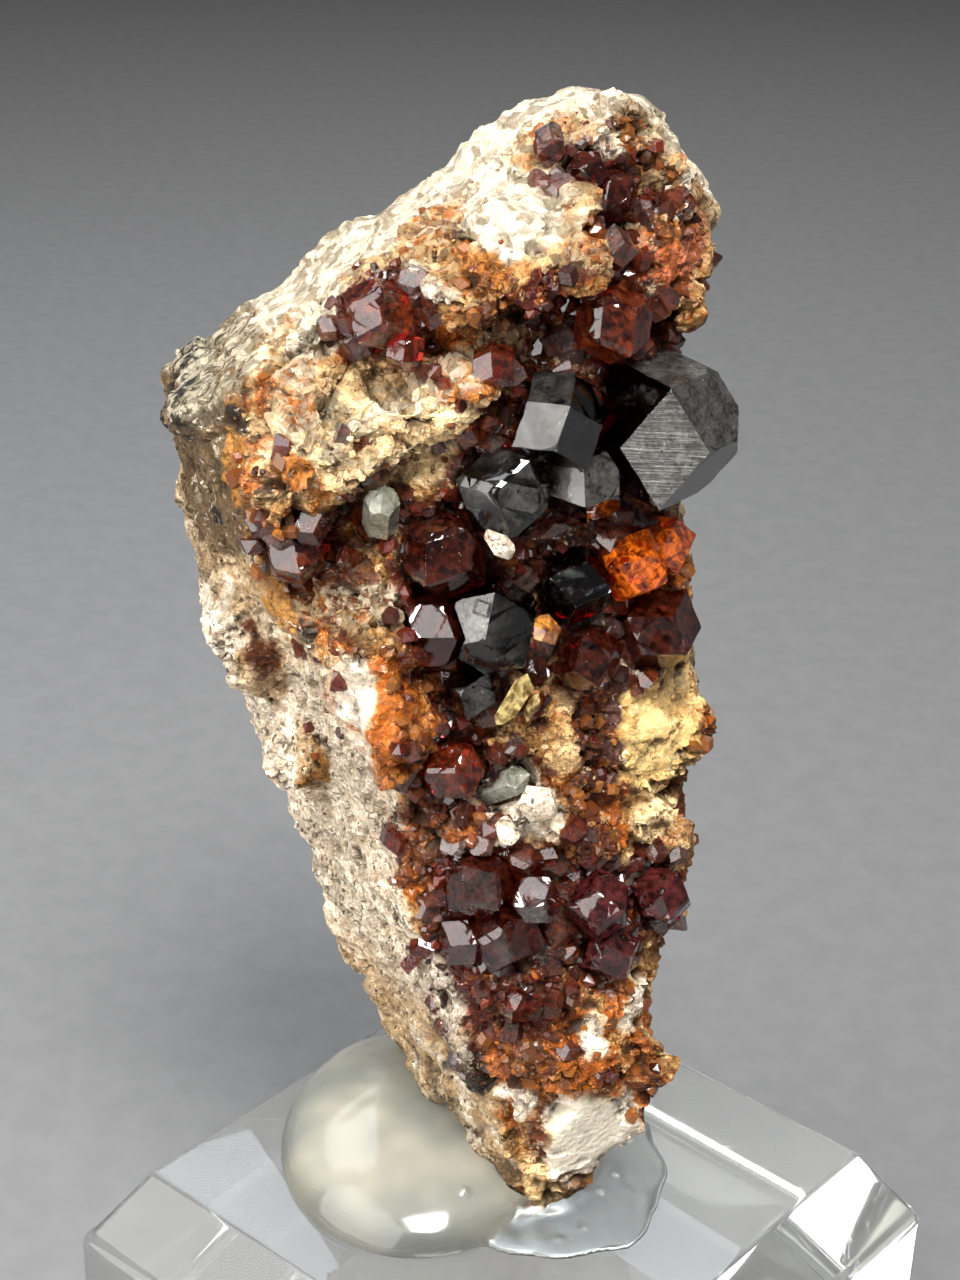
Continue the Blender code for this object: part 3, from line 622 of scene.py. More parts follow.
def garnet_finish(look, settings):
    """Clear crystal of a deep colour with growth lines, etch pits and frosted faces, the grey of the frosted
    faces partly a painted reflection of the lamps.
    """
    body, density, core, core_share = GARNET_LOOKS[look]
    finish = Finish(look + " garnet")
    frost = finish.number("frost")
    grooved = finish.stretched((0.22, 0.22, 9.0), (0.0, math.radians(-18), 0.0))
    lines = finish.noise(1.0, 3.0, 0.7, grooved).between(0.46, 0.64) * finish.number("lines")
    pits = finish.cells(2.1).between(0.20, 0.10) * finish.noise(1.1).between(0.46, 0.56)
    veil = finish.noise(1.4, 3.0, 0.6).between(0.40, 0.75)
    terrace = finish.noise(0.55, 2.0, 0.5).math("SNAP", 0.07)
    relief = lines * 0.7 + finish.noise(4.0, 1.0) * 0.25 + terrace * 0.6
    finish.surface(
        Base_Color=finish.mix(veil, (1.0, 1.0, 1.0), (0.92, 0.80, 0.78)),
        Roughness=0.03 + frost * 0.16 + veil * 0.05,
        IOR=GARNET_IOR,
        Transmission_Weight=1.0,
        Normal=finish.bump(relief, 0.03 * MM, 0.8),
    )

    # The cracked core
    cracked = finish.channel(finish.cells(2.6, out="Color"), "Red") * 0.22
    cracked = cracked + finish.noise(1.1, 4.0, 0.7, warp=1.4) * 1.1
    deep = tuple(part * share for part, share in zip(core, (0.22, 0.08, 0.1)))
    finish.cover(
        (cracked.between(0.30, 1.0) * core_share).held(),
        Base_Color=finish.mix(cracked.between(0.35, 0.95), deep, core),
        Roughness=0.12,
        IOR=GARNET_IOR,
    )

    # The frosted skin: real etching, with its grey tone on the listed facets also standing in for painted
    # reflections of the lamps
    tone = finish.noise(4.6, 2.0, 0.7).between(0.34, 0.68) * 0.45
    tone = tone + finish.noise(0.8, 3.0, 0.65).between(0.42, 0.60) * 0.4 + lines * 0.4
    dust = finish.cells(2.8).between(0.13, 0.06) * finish.noise(0.8, 3.0).between(0.48, 0.58)
    frost_and_painted_sheen = finish.mix(tone.held(), settings.frost_dark, settings.frost_light)
    finish.cover(
        (frost * (0.70 + lines * 0.3 - pits * 0.9) + dust * 0.35).held(),
        Base_Color=finish.mix(dust, frost_and_painted_sheen, (0.55, 0.50, 0.44)),
        Roughness=0.34 - lines * 0.1,
        IOR=GARNET_IOR,
        Normal=finish.bump(lines - pits * 1.5 + finish.noise(2.2, 3.0, 0.7), 0.07 * MM, 0.8),
    )
    finish.absorb(body or settings.body, density)
    return finish.material


def crumb_finish(settings):
    """Small garnets and rust grains, from orange to dark red by the grain."""
    finish = Finish("garnet crumbs")
    cloud = finish.noise(3.0, 2.0, 0.6)
    finish.colour = finish.mix(finish.number("grain"), settings.crumb_dark, settings.crumb_red)
    finish.lay(finish.number("glow"), settings.crumb_orange)
    finish.lay(cloud * 0.6, finish.mix(0.6, finish.colour, (0.02, 0.008, 0.006)))
    finish.surface(
        Base_Color=finish.colour,
        Roughness=0.16 + cloud * 0.25,
        IOR=1.55,
        Coat_Weight=0.15,
        Coat_Roughness=0.08,
        Normal=finish.bump(finish.noise(6.0, 1.0), 0.03 * MM, 0.6),
    )
    return finish.material


def quartz_finish():
    """Smoky grey-green quartz, cloudy inside and streaked along its length."""
    finish = Finish("smoky quartz")
    cloud = finish.noise(1.1, 5.0, 0.6)
    streak = finish.noise(1.0, place=finish.stretched((4.0, 4.0, 0.7)))
    finish.colour = finish.mix(cloud.between(0.3, 0.7), (0.16, 0.17, 0.12), (0.62, 0.62, 0.50))
    finish.lay(streak.between(0.5, 0.7) * 0.6, (0.75, 0.72, 0.62))
    finish.surface(
        Base_Color=finish.colour,
        Roughness=0.12 + cloud * 0.25,
        IOR=QUARTZ_IOR,
        Transmission_Weight=0.55,
        Coat_Weight=0.3,
        Normal=finish.bump(streak + cloud * 0.5, 0.05 * MM, 0.7),
    )
    return finish.material


def acrylic_finish(settings):
    """Clear cast acrylic with fine hairline scratches and dust in its polish."""
    finish = Finish("clear acrylic")
    hair = finish.stretched((0.12, 6.0, 0.6), (0.0, 0.0, 0.5))
    scratch = finish.noise(1.0, 2.0, 0.5, hair).between(0.66, 0.74)
    haze = finish.noise(0.25, 3.0, 0.5).between(0.35, 0.75)
    finish.surface(
        Base_Color=settings.acrylic,
        Roughness=0.012 + haze * 0.03 + scratch * 0.08,
        IOR=ACRYLIC_IOR,
        Transmission_Weight=0.92,
        Normal=finish.bump(scratch + haze * 0.15, 0.008 * MM, 0.25),
    )
    finish.absorb((0.80, 0.88, 0.84), 4.0)
    return finish.material


def glue_finish(settings):
    """Clear glue gone milky, with soft clouds and a polished skin."""
    finish = Finish("clear glue")
    cloud = finish.noise(0.16, 2.0, 0.45)
    dusty = finish.cells(1.6).between(0.07, 0.03)
    milk = finish.number("milk")
    colour = finish.mix(cloud.between(0.35, 0.7), settings.glue_cool, settings.glue_warm)
    finish.surface(
        Base_Color=finish.mix(milk, (0.93, 0.95, 0.92), colour),
        Roughness=0.10 + cloud * 0.08,
        IOR=GLUE_IOR,
        Transmission_Weight=1.0,
        Normal=finish.bump(cloud + dusty * 0.1, 0.06 * MM, 0.5),
    )
    share = (milk * (0.2 + cloud * 0.55)).held()
    finish.cover(share, Base_Color=colour, Roughness=0.16, IOR=GLUE_IOR)
    return finish.material


def flake_finish():
    """A thin flake of brassy mica."""
    finish = Finish("brassy mica")
    leaf = finish.noise(2.4, 4.0, 0.6)
    colour = finish.mix(leaf.between(0.35, 0.7), (0.16, 0.09, 0.02), (0.98, 0.74, 0.30))
    finish.surface(
        Base_Color=colour,
        Roughness=0.2 + leaf * 0.2,
        Metallic=0.45,
        Coat_Weight=0.6,
        Normal=finish.bump(leaf, 0.06 * MM, 0.8),
    )
    return finish.material


def floor_finish(settings):
    """A plain matt table top."""
    finish = Finish("matt table top")
    speck = finish.noise(0.35, 5.0, 0.6)
    colour = finish.mix(speck.between(0.3, 0.7), settings.floor_low, settings.floor_high)
    finish.surface(Base_Color=colour, Roughness=0.7)
    return finish.material


# The stone


def front_share(spots, normals):
    """1 on the garnet-bearing front of the stone, 0 on its left side, top and back."""
    edge = np.interp(spots[:, 2], EDGE_HEIGHTS, EDGE_PLACES)
    ragged = waves(spots, 1.6, 34) * 0.5 + waves(spots, 0.6, 35) * 0.25
    right_of_edge = smooth(spots[:, 0] - edge + ragged, -0.5, 0.5)
    return right_of_edge * smooth(-normals[:, 1], -0.35, 0.15) * smooth(-spots[:, 1], -3.0, -0.5)


def oval(spots, x, z, half_width, half_height):
    """How far each spot lies from the middle of an upright oval, 1 on the oval."""
    return np.hypot((spots[:, 0] - x) / half_width, (spots[:, 2] - z) / half_height)


def flatness(spots):
    """How flat the relief is kept, from 0 to 1."""
    flat = np.zeros(len(spots))
    for *place, amount in FLAT_AREAS:
        here = smooth(oval(spots, *place), 1.1, 0.8) * amount * smooth(-spots[:, 1], -1.0, 1.0)
        flat = np.maximum(flat, here)
    return flat


def blotches(spots, ragged, size, seed, start, width=0.4):
    """Soft ragged blotches of a size, from 0 to 1."""
    return smooth(waves(spots, size, seed) + ragged, start, start + width)


def patch_amounts(spots, normals):
    """How much of each finish lies on each point of the stone, from 0 to 1."""
    amounts = {name: np.zeros(len(spots)) for name in FINISHES}

    def add(name, amount):
        amounts[name] = np.maximum(amounts[name], amount)

    def most(*names):
        return np.maximum.reduce([amounts[name] for name in names])

    ragged = waves(spots, 1.7, 31) * 0.30 + waves(spots, 0.7, 32) * 0.22 + waves(spots, 0.3, 33) * 0.12
    depth = np.interp(spots[:, 0], (-15.5, -13.5), (10.0, 3.5))
    facing = smooth(-normals[:, 1], -0.45, 0.0) * smooth(depth - spots[:, 1], 0.0, 2.5)
    for name, places in PATCHES.items():
        for place in places:
            add(name, smooth(oval(spots, *place) + ragged, 1.35, 0.75) * facing)
    front = front_share(spots, normals)
    top = smooth(normals[:, 2], 0.25, 0.55) * smooth(spots[:, 2], 30.0, 40.0)
    stained = most("black", "grey", "tan", "ochre")
    add("white", top * (1.0 - front * 0.8) * 0.95 * (1.0 - stained))
    left = smooth(-normals[:, 0], 0.0, 0.4) * (1.0 - front) * (1.0 - top)
    back = (1.0 - front) * (1.0 - left) * (1.0 - top)
    for name, size, seed, start in BACK_STAINS:
        add(name, blotches(spots, ragged * 0.8, size, seed, start) * back * 0.8)
    low = left * smooth(spots[:, 2], 42.0, 32.0) * smooth(spots[:, 2], 8.0, 16.0)
    add("white", low * 0.62)
    for name, size, seed, start in LEFT_STAINS:
        share = left * (1.0 - low * 0.6) * (1.0 - stained) * 0.6
        add(name, blotches(spots, ragged * 0.8, size, seed, start) * share)
    pale = most("cream", "white", "yellow")
    for name, size, seed, start in FRONT_STAINS:
        add(name, blotches(spots, ragged, size, seed, start, 0.35) * (1.0 - pale * 0.85) * front * 0.75)
    return amounts


def crystal_tree(nodes):
    """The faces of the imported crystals, to measure how near they are."""
    points = []
    faces = []
    for node in nodes:
        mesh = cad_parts[node].data
        start = len(points)
        points.extend(v.co.copy() for v in mesh.vertices)
        faces.extend([start + i for i in p.vertices] for p in mesh.polygons)
    return BVHTree.FromPolygons(points, faces)


def distance_to(tree, points, reach):
    """Each point's distance from the crystals in mm, up to a reach in mm."""
    distances = np.full(len(points), reach)
    for number, point in enumerate(points):
        place = tree.find_nearest(Vector(point), reach * MM)
        if place[0] is not None:
            distances[number] = place[3] / MM
    return distances


def leaning(spots):
    """The spots with their rows slanted, as the grooves of the stone's left side run."""
    lean = spots.copy()
    lean[:, 0] += spots[:, 2] * smooth(spots[:, 2], 40.0, 30.0) * 0.55
    return lean


def break_stone(piece, settings):
    """Breaks the skin of the stone into tilted grains, crevices and pits, and stores its finishes and the
    painted shade of its crevices, pits and hollows.
    """
    points, normals = points_of(piece)
    spots = to_display(points)
    normals = normals @ TO_ROW
    near = distance_to(crystal_tree([*GARNETS, *QUARTZ]), points, 2.0)
    clear = smooth(near, 0.2, 1.6)
    top = smooth(normals[:, 2], 0.3, 0.6) * smooth(spots[:, 2], 30.0, 40.0)
    front = front_share(spots, normals)
    side = np.clip(1.0 - front - top, 0.0, 1.0)
    left = smooth(-normals[:, 0], 0.1, 0.5) * side
    coarse = broken_faces(spots, 3.1, 11, (1.0, 1.0, 0.8))
    middle = broken_faces(spots + waves(spots, 2.0, 14)[:, None] * 0.3, 1.45, 12)
    small = broken_faces(spots, 0.72, 13)
    open_crack = smooth(waves(spots, 2.4, 15), -0.25, 0.35)
    height = coarse[0] * 0.36 * (front * 0.9 + side * 0.4 + top * 0.25)
    height -= coarse[1] ** 2 * 0.40 * open_crack * (front + side * 0.4 + top * 0.1)
    height += middle[0] * 0.34 * (front + side * 0.4 + top * 0.25)
    height -= middle[1] ** 2 * 0.22 * open_crack * (front + side * 0.5 + top * 0.2)
    height += small[0] * 0.26 * (front * 0.8 + side * 0.4 + top * 0.3)
    height -= small[1] ** 2 * 0.08 * (front + side * 0.6)
    lumps = broken_faces(spots + 3.0, 1.15, 16)[3]
    height += (0.35 - lumps**2) * 0.30 * (top + side * 0.8)
    height += waves(spots, 0.45, 17) * 0.05 * (top + side)
    height *= settings.relief / MM * (1.0 - flatness(spots)) * smooth(spots[:, 2], -1.0, 4.0)
    bent = leaning(spots + waves(spots, 1.3, 25)[:, None] * 0.5)
    pits = broken_faces(bent + 7.0, 0.85, 21, (0.8, 0.8, 1.7))
    high = smooth(spots[:, 2], 32.0, 42.0)
    where = smooth(waves(spots, 2.3, 23) + waves(spots, 0.9, 24) * 0.6, -0.15, 0.35)
    where *= (pits[2] > 0.45 - high * 0.2) * np.maximum(left, side * 0.7)
    hole = smooth(pits[3], 0.46 - pits[2] * 0.12, 0.20) * where
    height -= hole * 0.40
    hollows = broken_faces(spots + 3.0, 1.6, 22, (1.3, 1.0, 0.7))
    hollow = smooth(hollows[3], 0.44, 0.20) * (hollows[2] > 0.62) * front
    height -= hollow * 0.55
    raised = np.maximum(height, 0.0) * clear + np.minimum(height, 0.0)
    moved = spots + normals * raised[:, None]
    moved[:, 2] = np.maximum(moved[:, 2], 0.05)
    set_points(piece, to_row(moved))
    amounts = patch_amounts(spots, normals)
    druse = smooth(near, 1.7, 0.5) * front
    amounts["red"] = np.maximum(amounts["red"], druse * 0.8)
    # Painted shade: black in the gap where the stone meets the garnets
    amounts["black"] = np.maximum(amounts["black"], smooth(near, 0.8, 0.25) * front)
    # Painted shade for the grooves between grains, the pits, the hollows and the gap round the garnets
    crack = coarse[1] ** 2 * 0.7 * open_crack * (front + side * 0.6)
    crack += middle[1] ** 2 * 0.55 * open_crack * (front + side * 0.5) + small[1] ** 3 * 0.3 * front
    crack = crack * (1.0 - top * 0.8) + hole * 1.6 + hollow * 1.2 + smooth(near, 0.6, 0.1) * 0.6
    numbers = {
        "grain": np.clip(middle[2] * 0.6 + small[2] * 0.4, 0.0, 1.0),
        "crack": np.clip(crack, 0.0, 1.0),
        "wet": smooth(amounts["red"] + amounts["orange"] + amounts["brown"], 0.2, 1.0),
        "near": near,
        "front": front,
        "slope": top,
        "flat": flatness(spots),
    }
    for name, values in (numbers | amounts).items():
        add_numbers(piece.data, name, values)


# Grains


def angular_grain(seed):
    """A small broken grain: a faceted ball cut by a few planes."""
    rng = np.random.default_rng(seed)
    deselect()
    bpy.ops.mesh.primitive_ico_sphere_add(subdivisions=1, radius=1.0)
    grain = bpy.context.object
    edit(grain)
    for _ in range(5):
        bpy.ops.mesh.select_all(action="SELECT")
        way = rng.normal(size=3)
        way /= np.linalg.norm(way)
        middle = tuple(way * rng.uniform(0.35, 0.6))
        bpy.ops.mesh.bisect(plane_co=middle, plane_no=tuple(way), use_fill=True, clear_outer=True)
    bpy.ops.mesh.select_all(action="SELECT")
    bpy.ops.transform.resize(value=tuple(rng.uniform(0.75, 1.35, 3)))
    bpy.ops.mesh.remove_doubles(threshold=0.05)
    bpy.ops.mesh.quads_convert_to_tris()
    bpy.ops.mesh.normals_make_consistent(inside=False)
    deselect()
    return grain


def small_garnet():
    """A rhombic dodecahedron: a cube with a pyramid raised on each face."""
    deselect()
    bpy.ops.mesh.primitive_cube_add(size=1.2)
    garnet = bpy.context.object
    edit(garnet)
    bpy.ops.mesh.poke(offset=0.6)
    deselect()
    return garnet


def templates(seed, count, garnets=0):
    """The points and triangles of the shapes to scatter: garnets first, then broken grains."""
    made = [small_garnet() for _ in range(garnets)]
    made += [angular_grain(seed + number) for number in range(garnets, count)]
    shapes = []
    for template in made:
        mesh = template.data
        triangles = np.array([list(p.vertices) for p in mesh.polygons], dtype=np.int64)
        shapes.append((read(mesh.vertices, "co", 3), triangles))
        bpy.data.objects.remove(template)
    return shapes


def scattered(piece, weights, count, seed):
    """Places on a skin, by area and weight: points, normals and the nearest vertex of each."""
    mesh = piece.data
    mesh.calc_loop_triangles()
    corners = read(mesh.loop_triangles, "vertices", 3, np.int32)
    points, normals = points_of(piece)
    sides = points[corners]
    area = np.linalg.norm(np.cross(sides[:, 1] - sides[:, 0], sides[:, 2] - sides[:, 0]), axis=1)
    share = np.cumsum(area * weights[corners].mean(axis=1))
    rng = np.random.default_rng(seed)
    chosen = np.searchsorted(share, rng.uniform(0.0, share[-1], count))
    parts = rng.dirichlet((1.0, 1.0, 1.0), count)
    places = (sides[chosen] * parts[:, :, None]).sum(axis=1)
    return places, normals[corners[chosen, 0]], corners[chosen, 0], rng


def clear_of_foot(piece):
    """0 at the foot that stands in the glue, 1 from a few millimetres above it."""
    return smooth(points_of(piece)[0][:, 2] / MM - BLOCK_TOP / MM, 1.5, 4.0)


def on_front(piece, x, z):
    """The place in mm where the front of a piece lies behind (x, z)."""
    start = Vector(to_row((x, -60.0, z)))
    way = Vector(to_row((x, 0.0, z))) - start
    found, place, _, _ = piece.ray_cast(start, way.normalized())
    if not found:
        raise RuntimeError(f"nothing lies behind ({x}, {z})")
    return to_display(np.array([place]))[0]


def random_turns(rng, count):
    """Even random rotations as matrices."""
    q = rng.normal(size=(count, 4))
    q /= np.linalg.norm(q, axis=1)[:, None]
    w, x, y, z = q.T
    rows = (
        (1 - 2 * (y * y + z * z), 2 * (x * y - z * w), 2 * (x * z + y * w)),
        (2 * (x * y + z * w), 1 - 2 * (x * x + z * z), 2 * (y * z - x * w)),
        (2 * (x * z - y * w), 2 * (y * z + x * w), 1 - 2 * (x * x + y * y)),
    )
    return np.stack([np.stack(row, axis=-1) for row in rows], axis=1)


def grow_grains(name, shapes, places, sizes, turns, numbers):
    """Joins a copy of a template at each place into one piece."""
    points, faces, owners = [], [], []
    start = 0
    for kind, (shape, triangles) in enumerate(shapes):
        mine = np.arange(len(places)) % len(shapes) == kind
        count = int(mine.sum())
        body = np.einsum("nij,pj->npi", turns[mine], shape) * sizes[mine][:, None, None]
        points.append((body + places[mine][:, None, :]).reshape(-1, 3))
        shift = start + np.arange(count) * len(shape)
        faces.append((triangles[None] + shift[:, None, None]).reshape(-1, 3))
        owners.append(np.repeat(np.flatnonzero(mine), len(shape)))
        start += count * len(shape)
    mesh = bpy.data.meshes.new(name)
    mesh.from_pydata(np.concatenate(points).tolist(), [], np.concatenate(faces).tolist())
    mesh.update()
    for label, values in numbers.items():
        add_numbers(mesh, label, values[np.concatenate(owners)])
    return new_piece(name, mesh)


# The crystals


def chip_edges(piece, edge, seed):
    """Splits the long edges and pushes some of the new points in, as small chips."""
    rng = np.random.default_rng(900 + seed)
    skin = bmesh.new()
    skin.from_mesh(piece.data)
    long_edges = [e for e in skin.edges if e.calc_length() > 8.0 * edge]
    corners = set(skin.verts)
    bmesh.ops.bisect_edges(skin, edges=long_edges, cuts=5)
    skin.normal_update()
    for vertex in skin.verts:
        if vertex not in corners:
            vertex.co -= vertex.normal * edge * (0.15 + rng.uniform() ** 3 * 1.6)
        else:
            vertex.co -= vertex.normal * edge * rng.uniform(0.1, 1.2)
    bmesh.ops.triangulate(skin, faces=[f for f in skin.faces if len(f.verts) > 4])
    skin.to_mesh(piece.data)
    skin.free()


def facet_piece(node, edge, seed):
    """A packed crystal with its flat faces joined, chipped and worn along the edges."""
    piece = node_copy(node, node + "_crystal")
    edit(piece)
    bpy.ops.mesh.dissolve_limited(angle_limit=math.radians(2.0))
    deselect()
    chip_edges(piece, edge, seed)
    wear_edges(piece, edge, 12.0, 12.0)
    return piece


# Facets that show a frosted, greyish skin, which is partly real etching and partly a painted reflection of
# the lamps: crystal, direction of the facet in the display frame, and how much
FROSTED_AND_PAINTED_SHEEN = (
    ("garnet_large", (-0.03, -1.0, 0.0), 0.85),
    ("garnet_large", (0.03, 0.0, 1.0), 0.55),
    ("garnet_large", (0.71, -0.52, 0.48), 0.5),
    ("garnet_large", (0.67, -0.52, -0.52), 0.25),
    ("garnet_group_centre", (-0.52, -0.84, 0.17), 0.6),
    ("garnet_group_centre", (-0.26, -0.25, 0.93), 0.30),
    ("garnet_group_centre", (0.45, -0.80, 0.39), 0.5),
    ("garnet_etched", (-0.51, -0.74, 0.43), 1.0),
    ("garnet_etched", (0.18, -0.95, 0.24), 0.3),
    ("garnet_foot_cluster", (0.09, -0.91, 0.41), 0.25),
    ("garnet_foot_cluster", (-0.08, -0.97, -0.25), 0.4),
)


def store_frost(piece, node):
    """Stores how frosted each facet is, which also sets the painted reflection on it. Corners are shared, so
    an edge fades.
    """
    points, normals = points_of(piece)
    normals = normals @ TO_ROW
    frost = np.zeros(len(points))
    for owner, way, amount in FROSTED_AND_PAINTED_SHEEN:
        if owner == node:
            way = np.array(way) / np.linalg.norm(way)
            frost = np.maximum(frost, smooth(normals @ way, 0.955, 0.985) * amount)
    add_numbers(piece.data, "frost", frost)
    lined = smooth(-normals[:, 1], 0.9, 0.97) if node == "garnet_large" else np.zeros(len(points))
    add_numbers(piece.data, "lines", lined)


# The etched square on the front of the etched garnet: place and direction in the display frame
ETCHED_SQUARE = ((-2.35, -7.52, 41.29), (-0.51, -0.74, 0.43))

# Small garnets set in the front of the stone: middle x and z, and radius in mm
SET_GARNETS = (
    (-2.0, 54.0, 1.15), (-0.9, 53.0, 0.85), (-0.3, 55.2, 0.75), (-12.2, 49.6, 0.75),
    (-9.4, 50.2, 0.95), (-2.2, 50.8, 0.6), (0.8, 56.4, 0.9), (2.1, 55.3, 0.8),
    (4.4, 57.2, 0.75), (-6.7, 26.4, 0.95), (-4.2, 25.4, 0.7), (5.0, 24.3, 0.8),
    (2.9, 27.8, 0.85), (-12.1, 36.5, 0.8), (-9.7, 37.0, 0.75), (2.9, 14.2, 0.75),
    (5.0, 12.7, 0.6), (6.9, 60.8, 0.8), (-0.4, 47.5, 1.05), (-6.4, 34.4, 0.8),
)

# Loose bits that catch the eye: name, finish, middle (x, y, z), half sizes and turn in degrees, in mm
BITS = (
    ("white_bit", "white", (-1.6, -8.2, 45.1), (0.55, 0.4, 0.45), (20.0, 30.0, 10.0)),
    ("white_shard", "white", (1.0, -7.3, 30.0), (0.7, 0.4, 1.3), (10.0, 15.0, 0.0)),
    ("pale_shard", "white", (-0.6, -7.2, 28.0), (0.5, 0.35, 0.9), (0.0, -20.0, 15.0)),
    ("amber_bit", "amber", (0.8, -6.6, 39.5), (0.6, 0.5, 0.75), (0.0, 15.0, 0.0)),
    ("brassy_flake", "brass", (-0.6, -7.1, 36.0), (0.42, 0.10, 0.95), (-12.0, 30.0, 8.0)),
    ("brassy_leaf", "brass", (0.4, -6.8, 35.3), (0.22, 0.10, 0.6), (10.0, 20.0, -20.0)),
)


def loose_bit(name, middle, half, turn, seed):
    """An angular chip at its place on the stone."""
    chip = angular_grain(seed)
    chip.name = name
    chip.scale = [size * MM * 1.6 for size in half]
    turns = [math.radians(angle) for angle in turn]
    turns[2] += STONE_TURN
    chip.rotation_euler = turns
    chip.location = to_row(middle)
    finish_place(chip)
    wear_edges(chip, 0.03 * MM, 30.0, 20.0)
    return chip


# Settings


def colour_setting(name, description, default):
    """A colour that a user may change."""
    return bpy.props.FloatVectorProperty(
        name=name, description=description, default=default, subtype="COLOR", size=3, min=0.0, max=1.0
    )


def length_setting(name, description, default):
    """A length that a user may change."""
    return bpy.props.FloatProperty(
        name=name, description=description, default=default, unit="LENGTH", precision=5, min=0.00001
    )


def count_setting(name, description, default):
    """A number of things that a user may change."""
    return bpy.props.IntProperty(name=name, description=description, default=default, min=1)


def power_setting(name, description, default):
    """The power of a light in watts."""
    return bpy.props.FloatProperty(
        name=name, description=description, default=default, unit="POWER", min=0.0
    )


class StoneSettings(bpy.types.PropertyGroup):
    """Sizes and colours of the rock and its grains."""

    skin: length_setting("Skin", "Size of the faces of the stone's skin", 0.28 * MM)
    relief: length_setting("Relief", "Height of the broken grains for each mm", 1.0 * MM)
    rock_light: colour_setting("Light Rock", "The palest rock", (0.93, 0.79, 0.55))
    rock_dark: colour_setting("Dark Rock", "The darker grains of the rock", (0.50, 0.36, 0.19))
    rock_stain: colour_setting("Stain", "The faint stain all over the rock", (0.46, 0.27, 0.11))
    tan: colour_setting("Tan", "Weathered beige rock", (0.17, 0.115, 0.055))
    grey: colour_setting("Grey", "Grey rock", (0.11, 0.090, 0.055))
    cream: colour_setting("Cream", "Cream rock", (1.0, 0.78, 0.44))
    ochre: colour_setting("Ochre", "Yellow-brown stain", (0.46, 0.22, 0.045))
    pink: colour_setting("Pink", "Pink feldspar", (0.52, 0.20, 0.13))
    yellow: colour_setting("Yellow", "Yellow crust", (0.95, 0.68, 0.28))
    orange: colour_setting("Orange", "Orange rust", (0.56, 0.20, 0.030))
    # Brown also paints the shadow under the cream ledge
    brown: colour_setting("Brown", "Brown rust", (0.13, 0.036, 0.007))
    purple: colour_setting("Purple", "Purple-brown garnet skin", (0.09, 0.035, 0.03))
    red: colour_setting("Red", "Red garnet skin", (0.10, 0.014, 0.006))
    green: colour_setting("Green", "Dark green-grey mineral", (0.05, 0.05, 0.03))
    # Black also paints shade: in deep gaps, under the cream ledge and round the garnets
    black: colour_setting("Black", "Black mineral and deep gaps", (0.012, 0.008, 0.005))
    white: colour_setting("White", "Sugary white feldspar", (0.96, 0.89, 0.75))
    pale_grains: count_setting("Pale Grains", "How many grains lie on the rock", 3900)
    crumbs: count_setting("Garnet Crumbs", "How many small garnets lie on the rock", 2600)
    crumb_dark: colour_setting("Dark Crumbs", "The darkest small garnets", (0.020, 0.005, 0.003))
    crumb_red: colour_setting("Red Crumbs", "The red small garnets", (0.13, 0.014, 0.005))
    crumb_orange: colour_setting("Orange Crumbs", "The orange grains", (0.38, 0.13, 0.02))


class CrystalSettings(bpy.types.PropertyGroup):
    """Sizes and colours of the garnets."""

    edge: length_setting("Worn Edge", "Width of the worn edges", 0.05 * MM)
    body: colour_setting("Body", "The colour that the garnets let through", (0.80, 0.13, 0.05))
    druse: count_setting("Crust Garnets", "How many garnets crust the hollows", 900)
    # The frost tones also serve as painted reflections of the lamps on the listed facets
    frost_dark: colour_setting("Frost, Dark", "The darker part of a frosted face", (0.035, 0.03, 0.025))
    frost_light: colour_setting("Frost, Light", "The lighter part of a frosted face", (0.24, 0.225, 0.21))


class MountSettings(bpy.types.PropertyGroup):
    """Sizes and colours of the block and the glue."""

    bevel: length_setting("Polished Edge", "Width of the block's polished edges", 0.14 * MM)
    acrylic: colour_setting("Acrylic", "The colour of the clear block", (0.99, 1.0, 0.995))
    glue_cool: colour_setting("Cool Glue", "The greyer clouds in the glue", (0.40, 0.415, 0.37))
    glue_warm: colour_setting("Warm Glue", "The creamy clouds in the glue", (0.56, 0.53, 0.43))


class StageSettings(bpy.types.PropertyGroup):
    """The floor and the light."""

    floor_low: colour_setting("Floor, Dark", "The darker tone of the floor", (0.185, 0.185, 0.188))
    floor_high: colour_setting("Floor, Light", "The lighter tone of the floor", (0.205, 0.205, 0.208))
    top: power_setting("Top Light", "Power of the main softbox", 0.34)
    left: power_setting("Left Light", "Power of the left softbox", 1.8)
    back: power_setting("Back Light", "Power of the back softbox", 0.5)
    front: power_setting("Front Light", "Power of the front softbox", 2.15)


# Operators


class SPECIMEN_OT_stone(bpy.types.Operator):
    """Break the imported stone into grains, crevices and stains"""

    bl_idname = "specimen.stone"
    bl_label = "Matrix Stone"

    def execute(self, context):
        settings = context.scene.specimen_stone
        piece = node_copy("matrix_stone", "stone_skin")
        remesh(piece, settings.skin)
        break_stone(piece, settings)
        smooth_shading(piece, 27.0)
        hand_over(piece, stone_finish(settings), ("matrix_stone",))
        return {"FINISHED"}


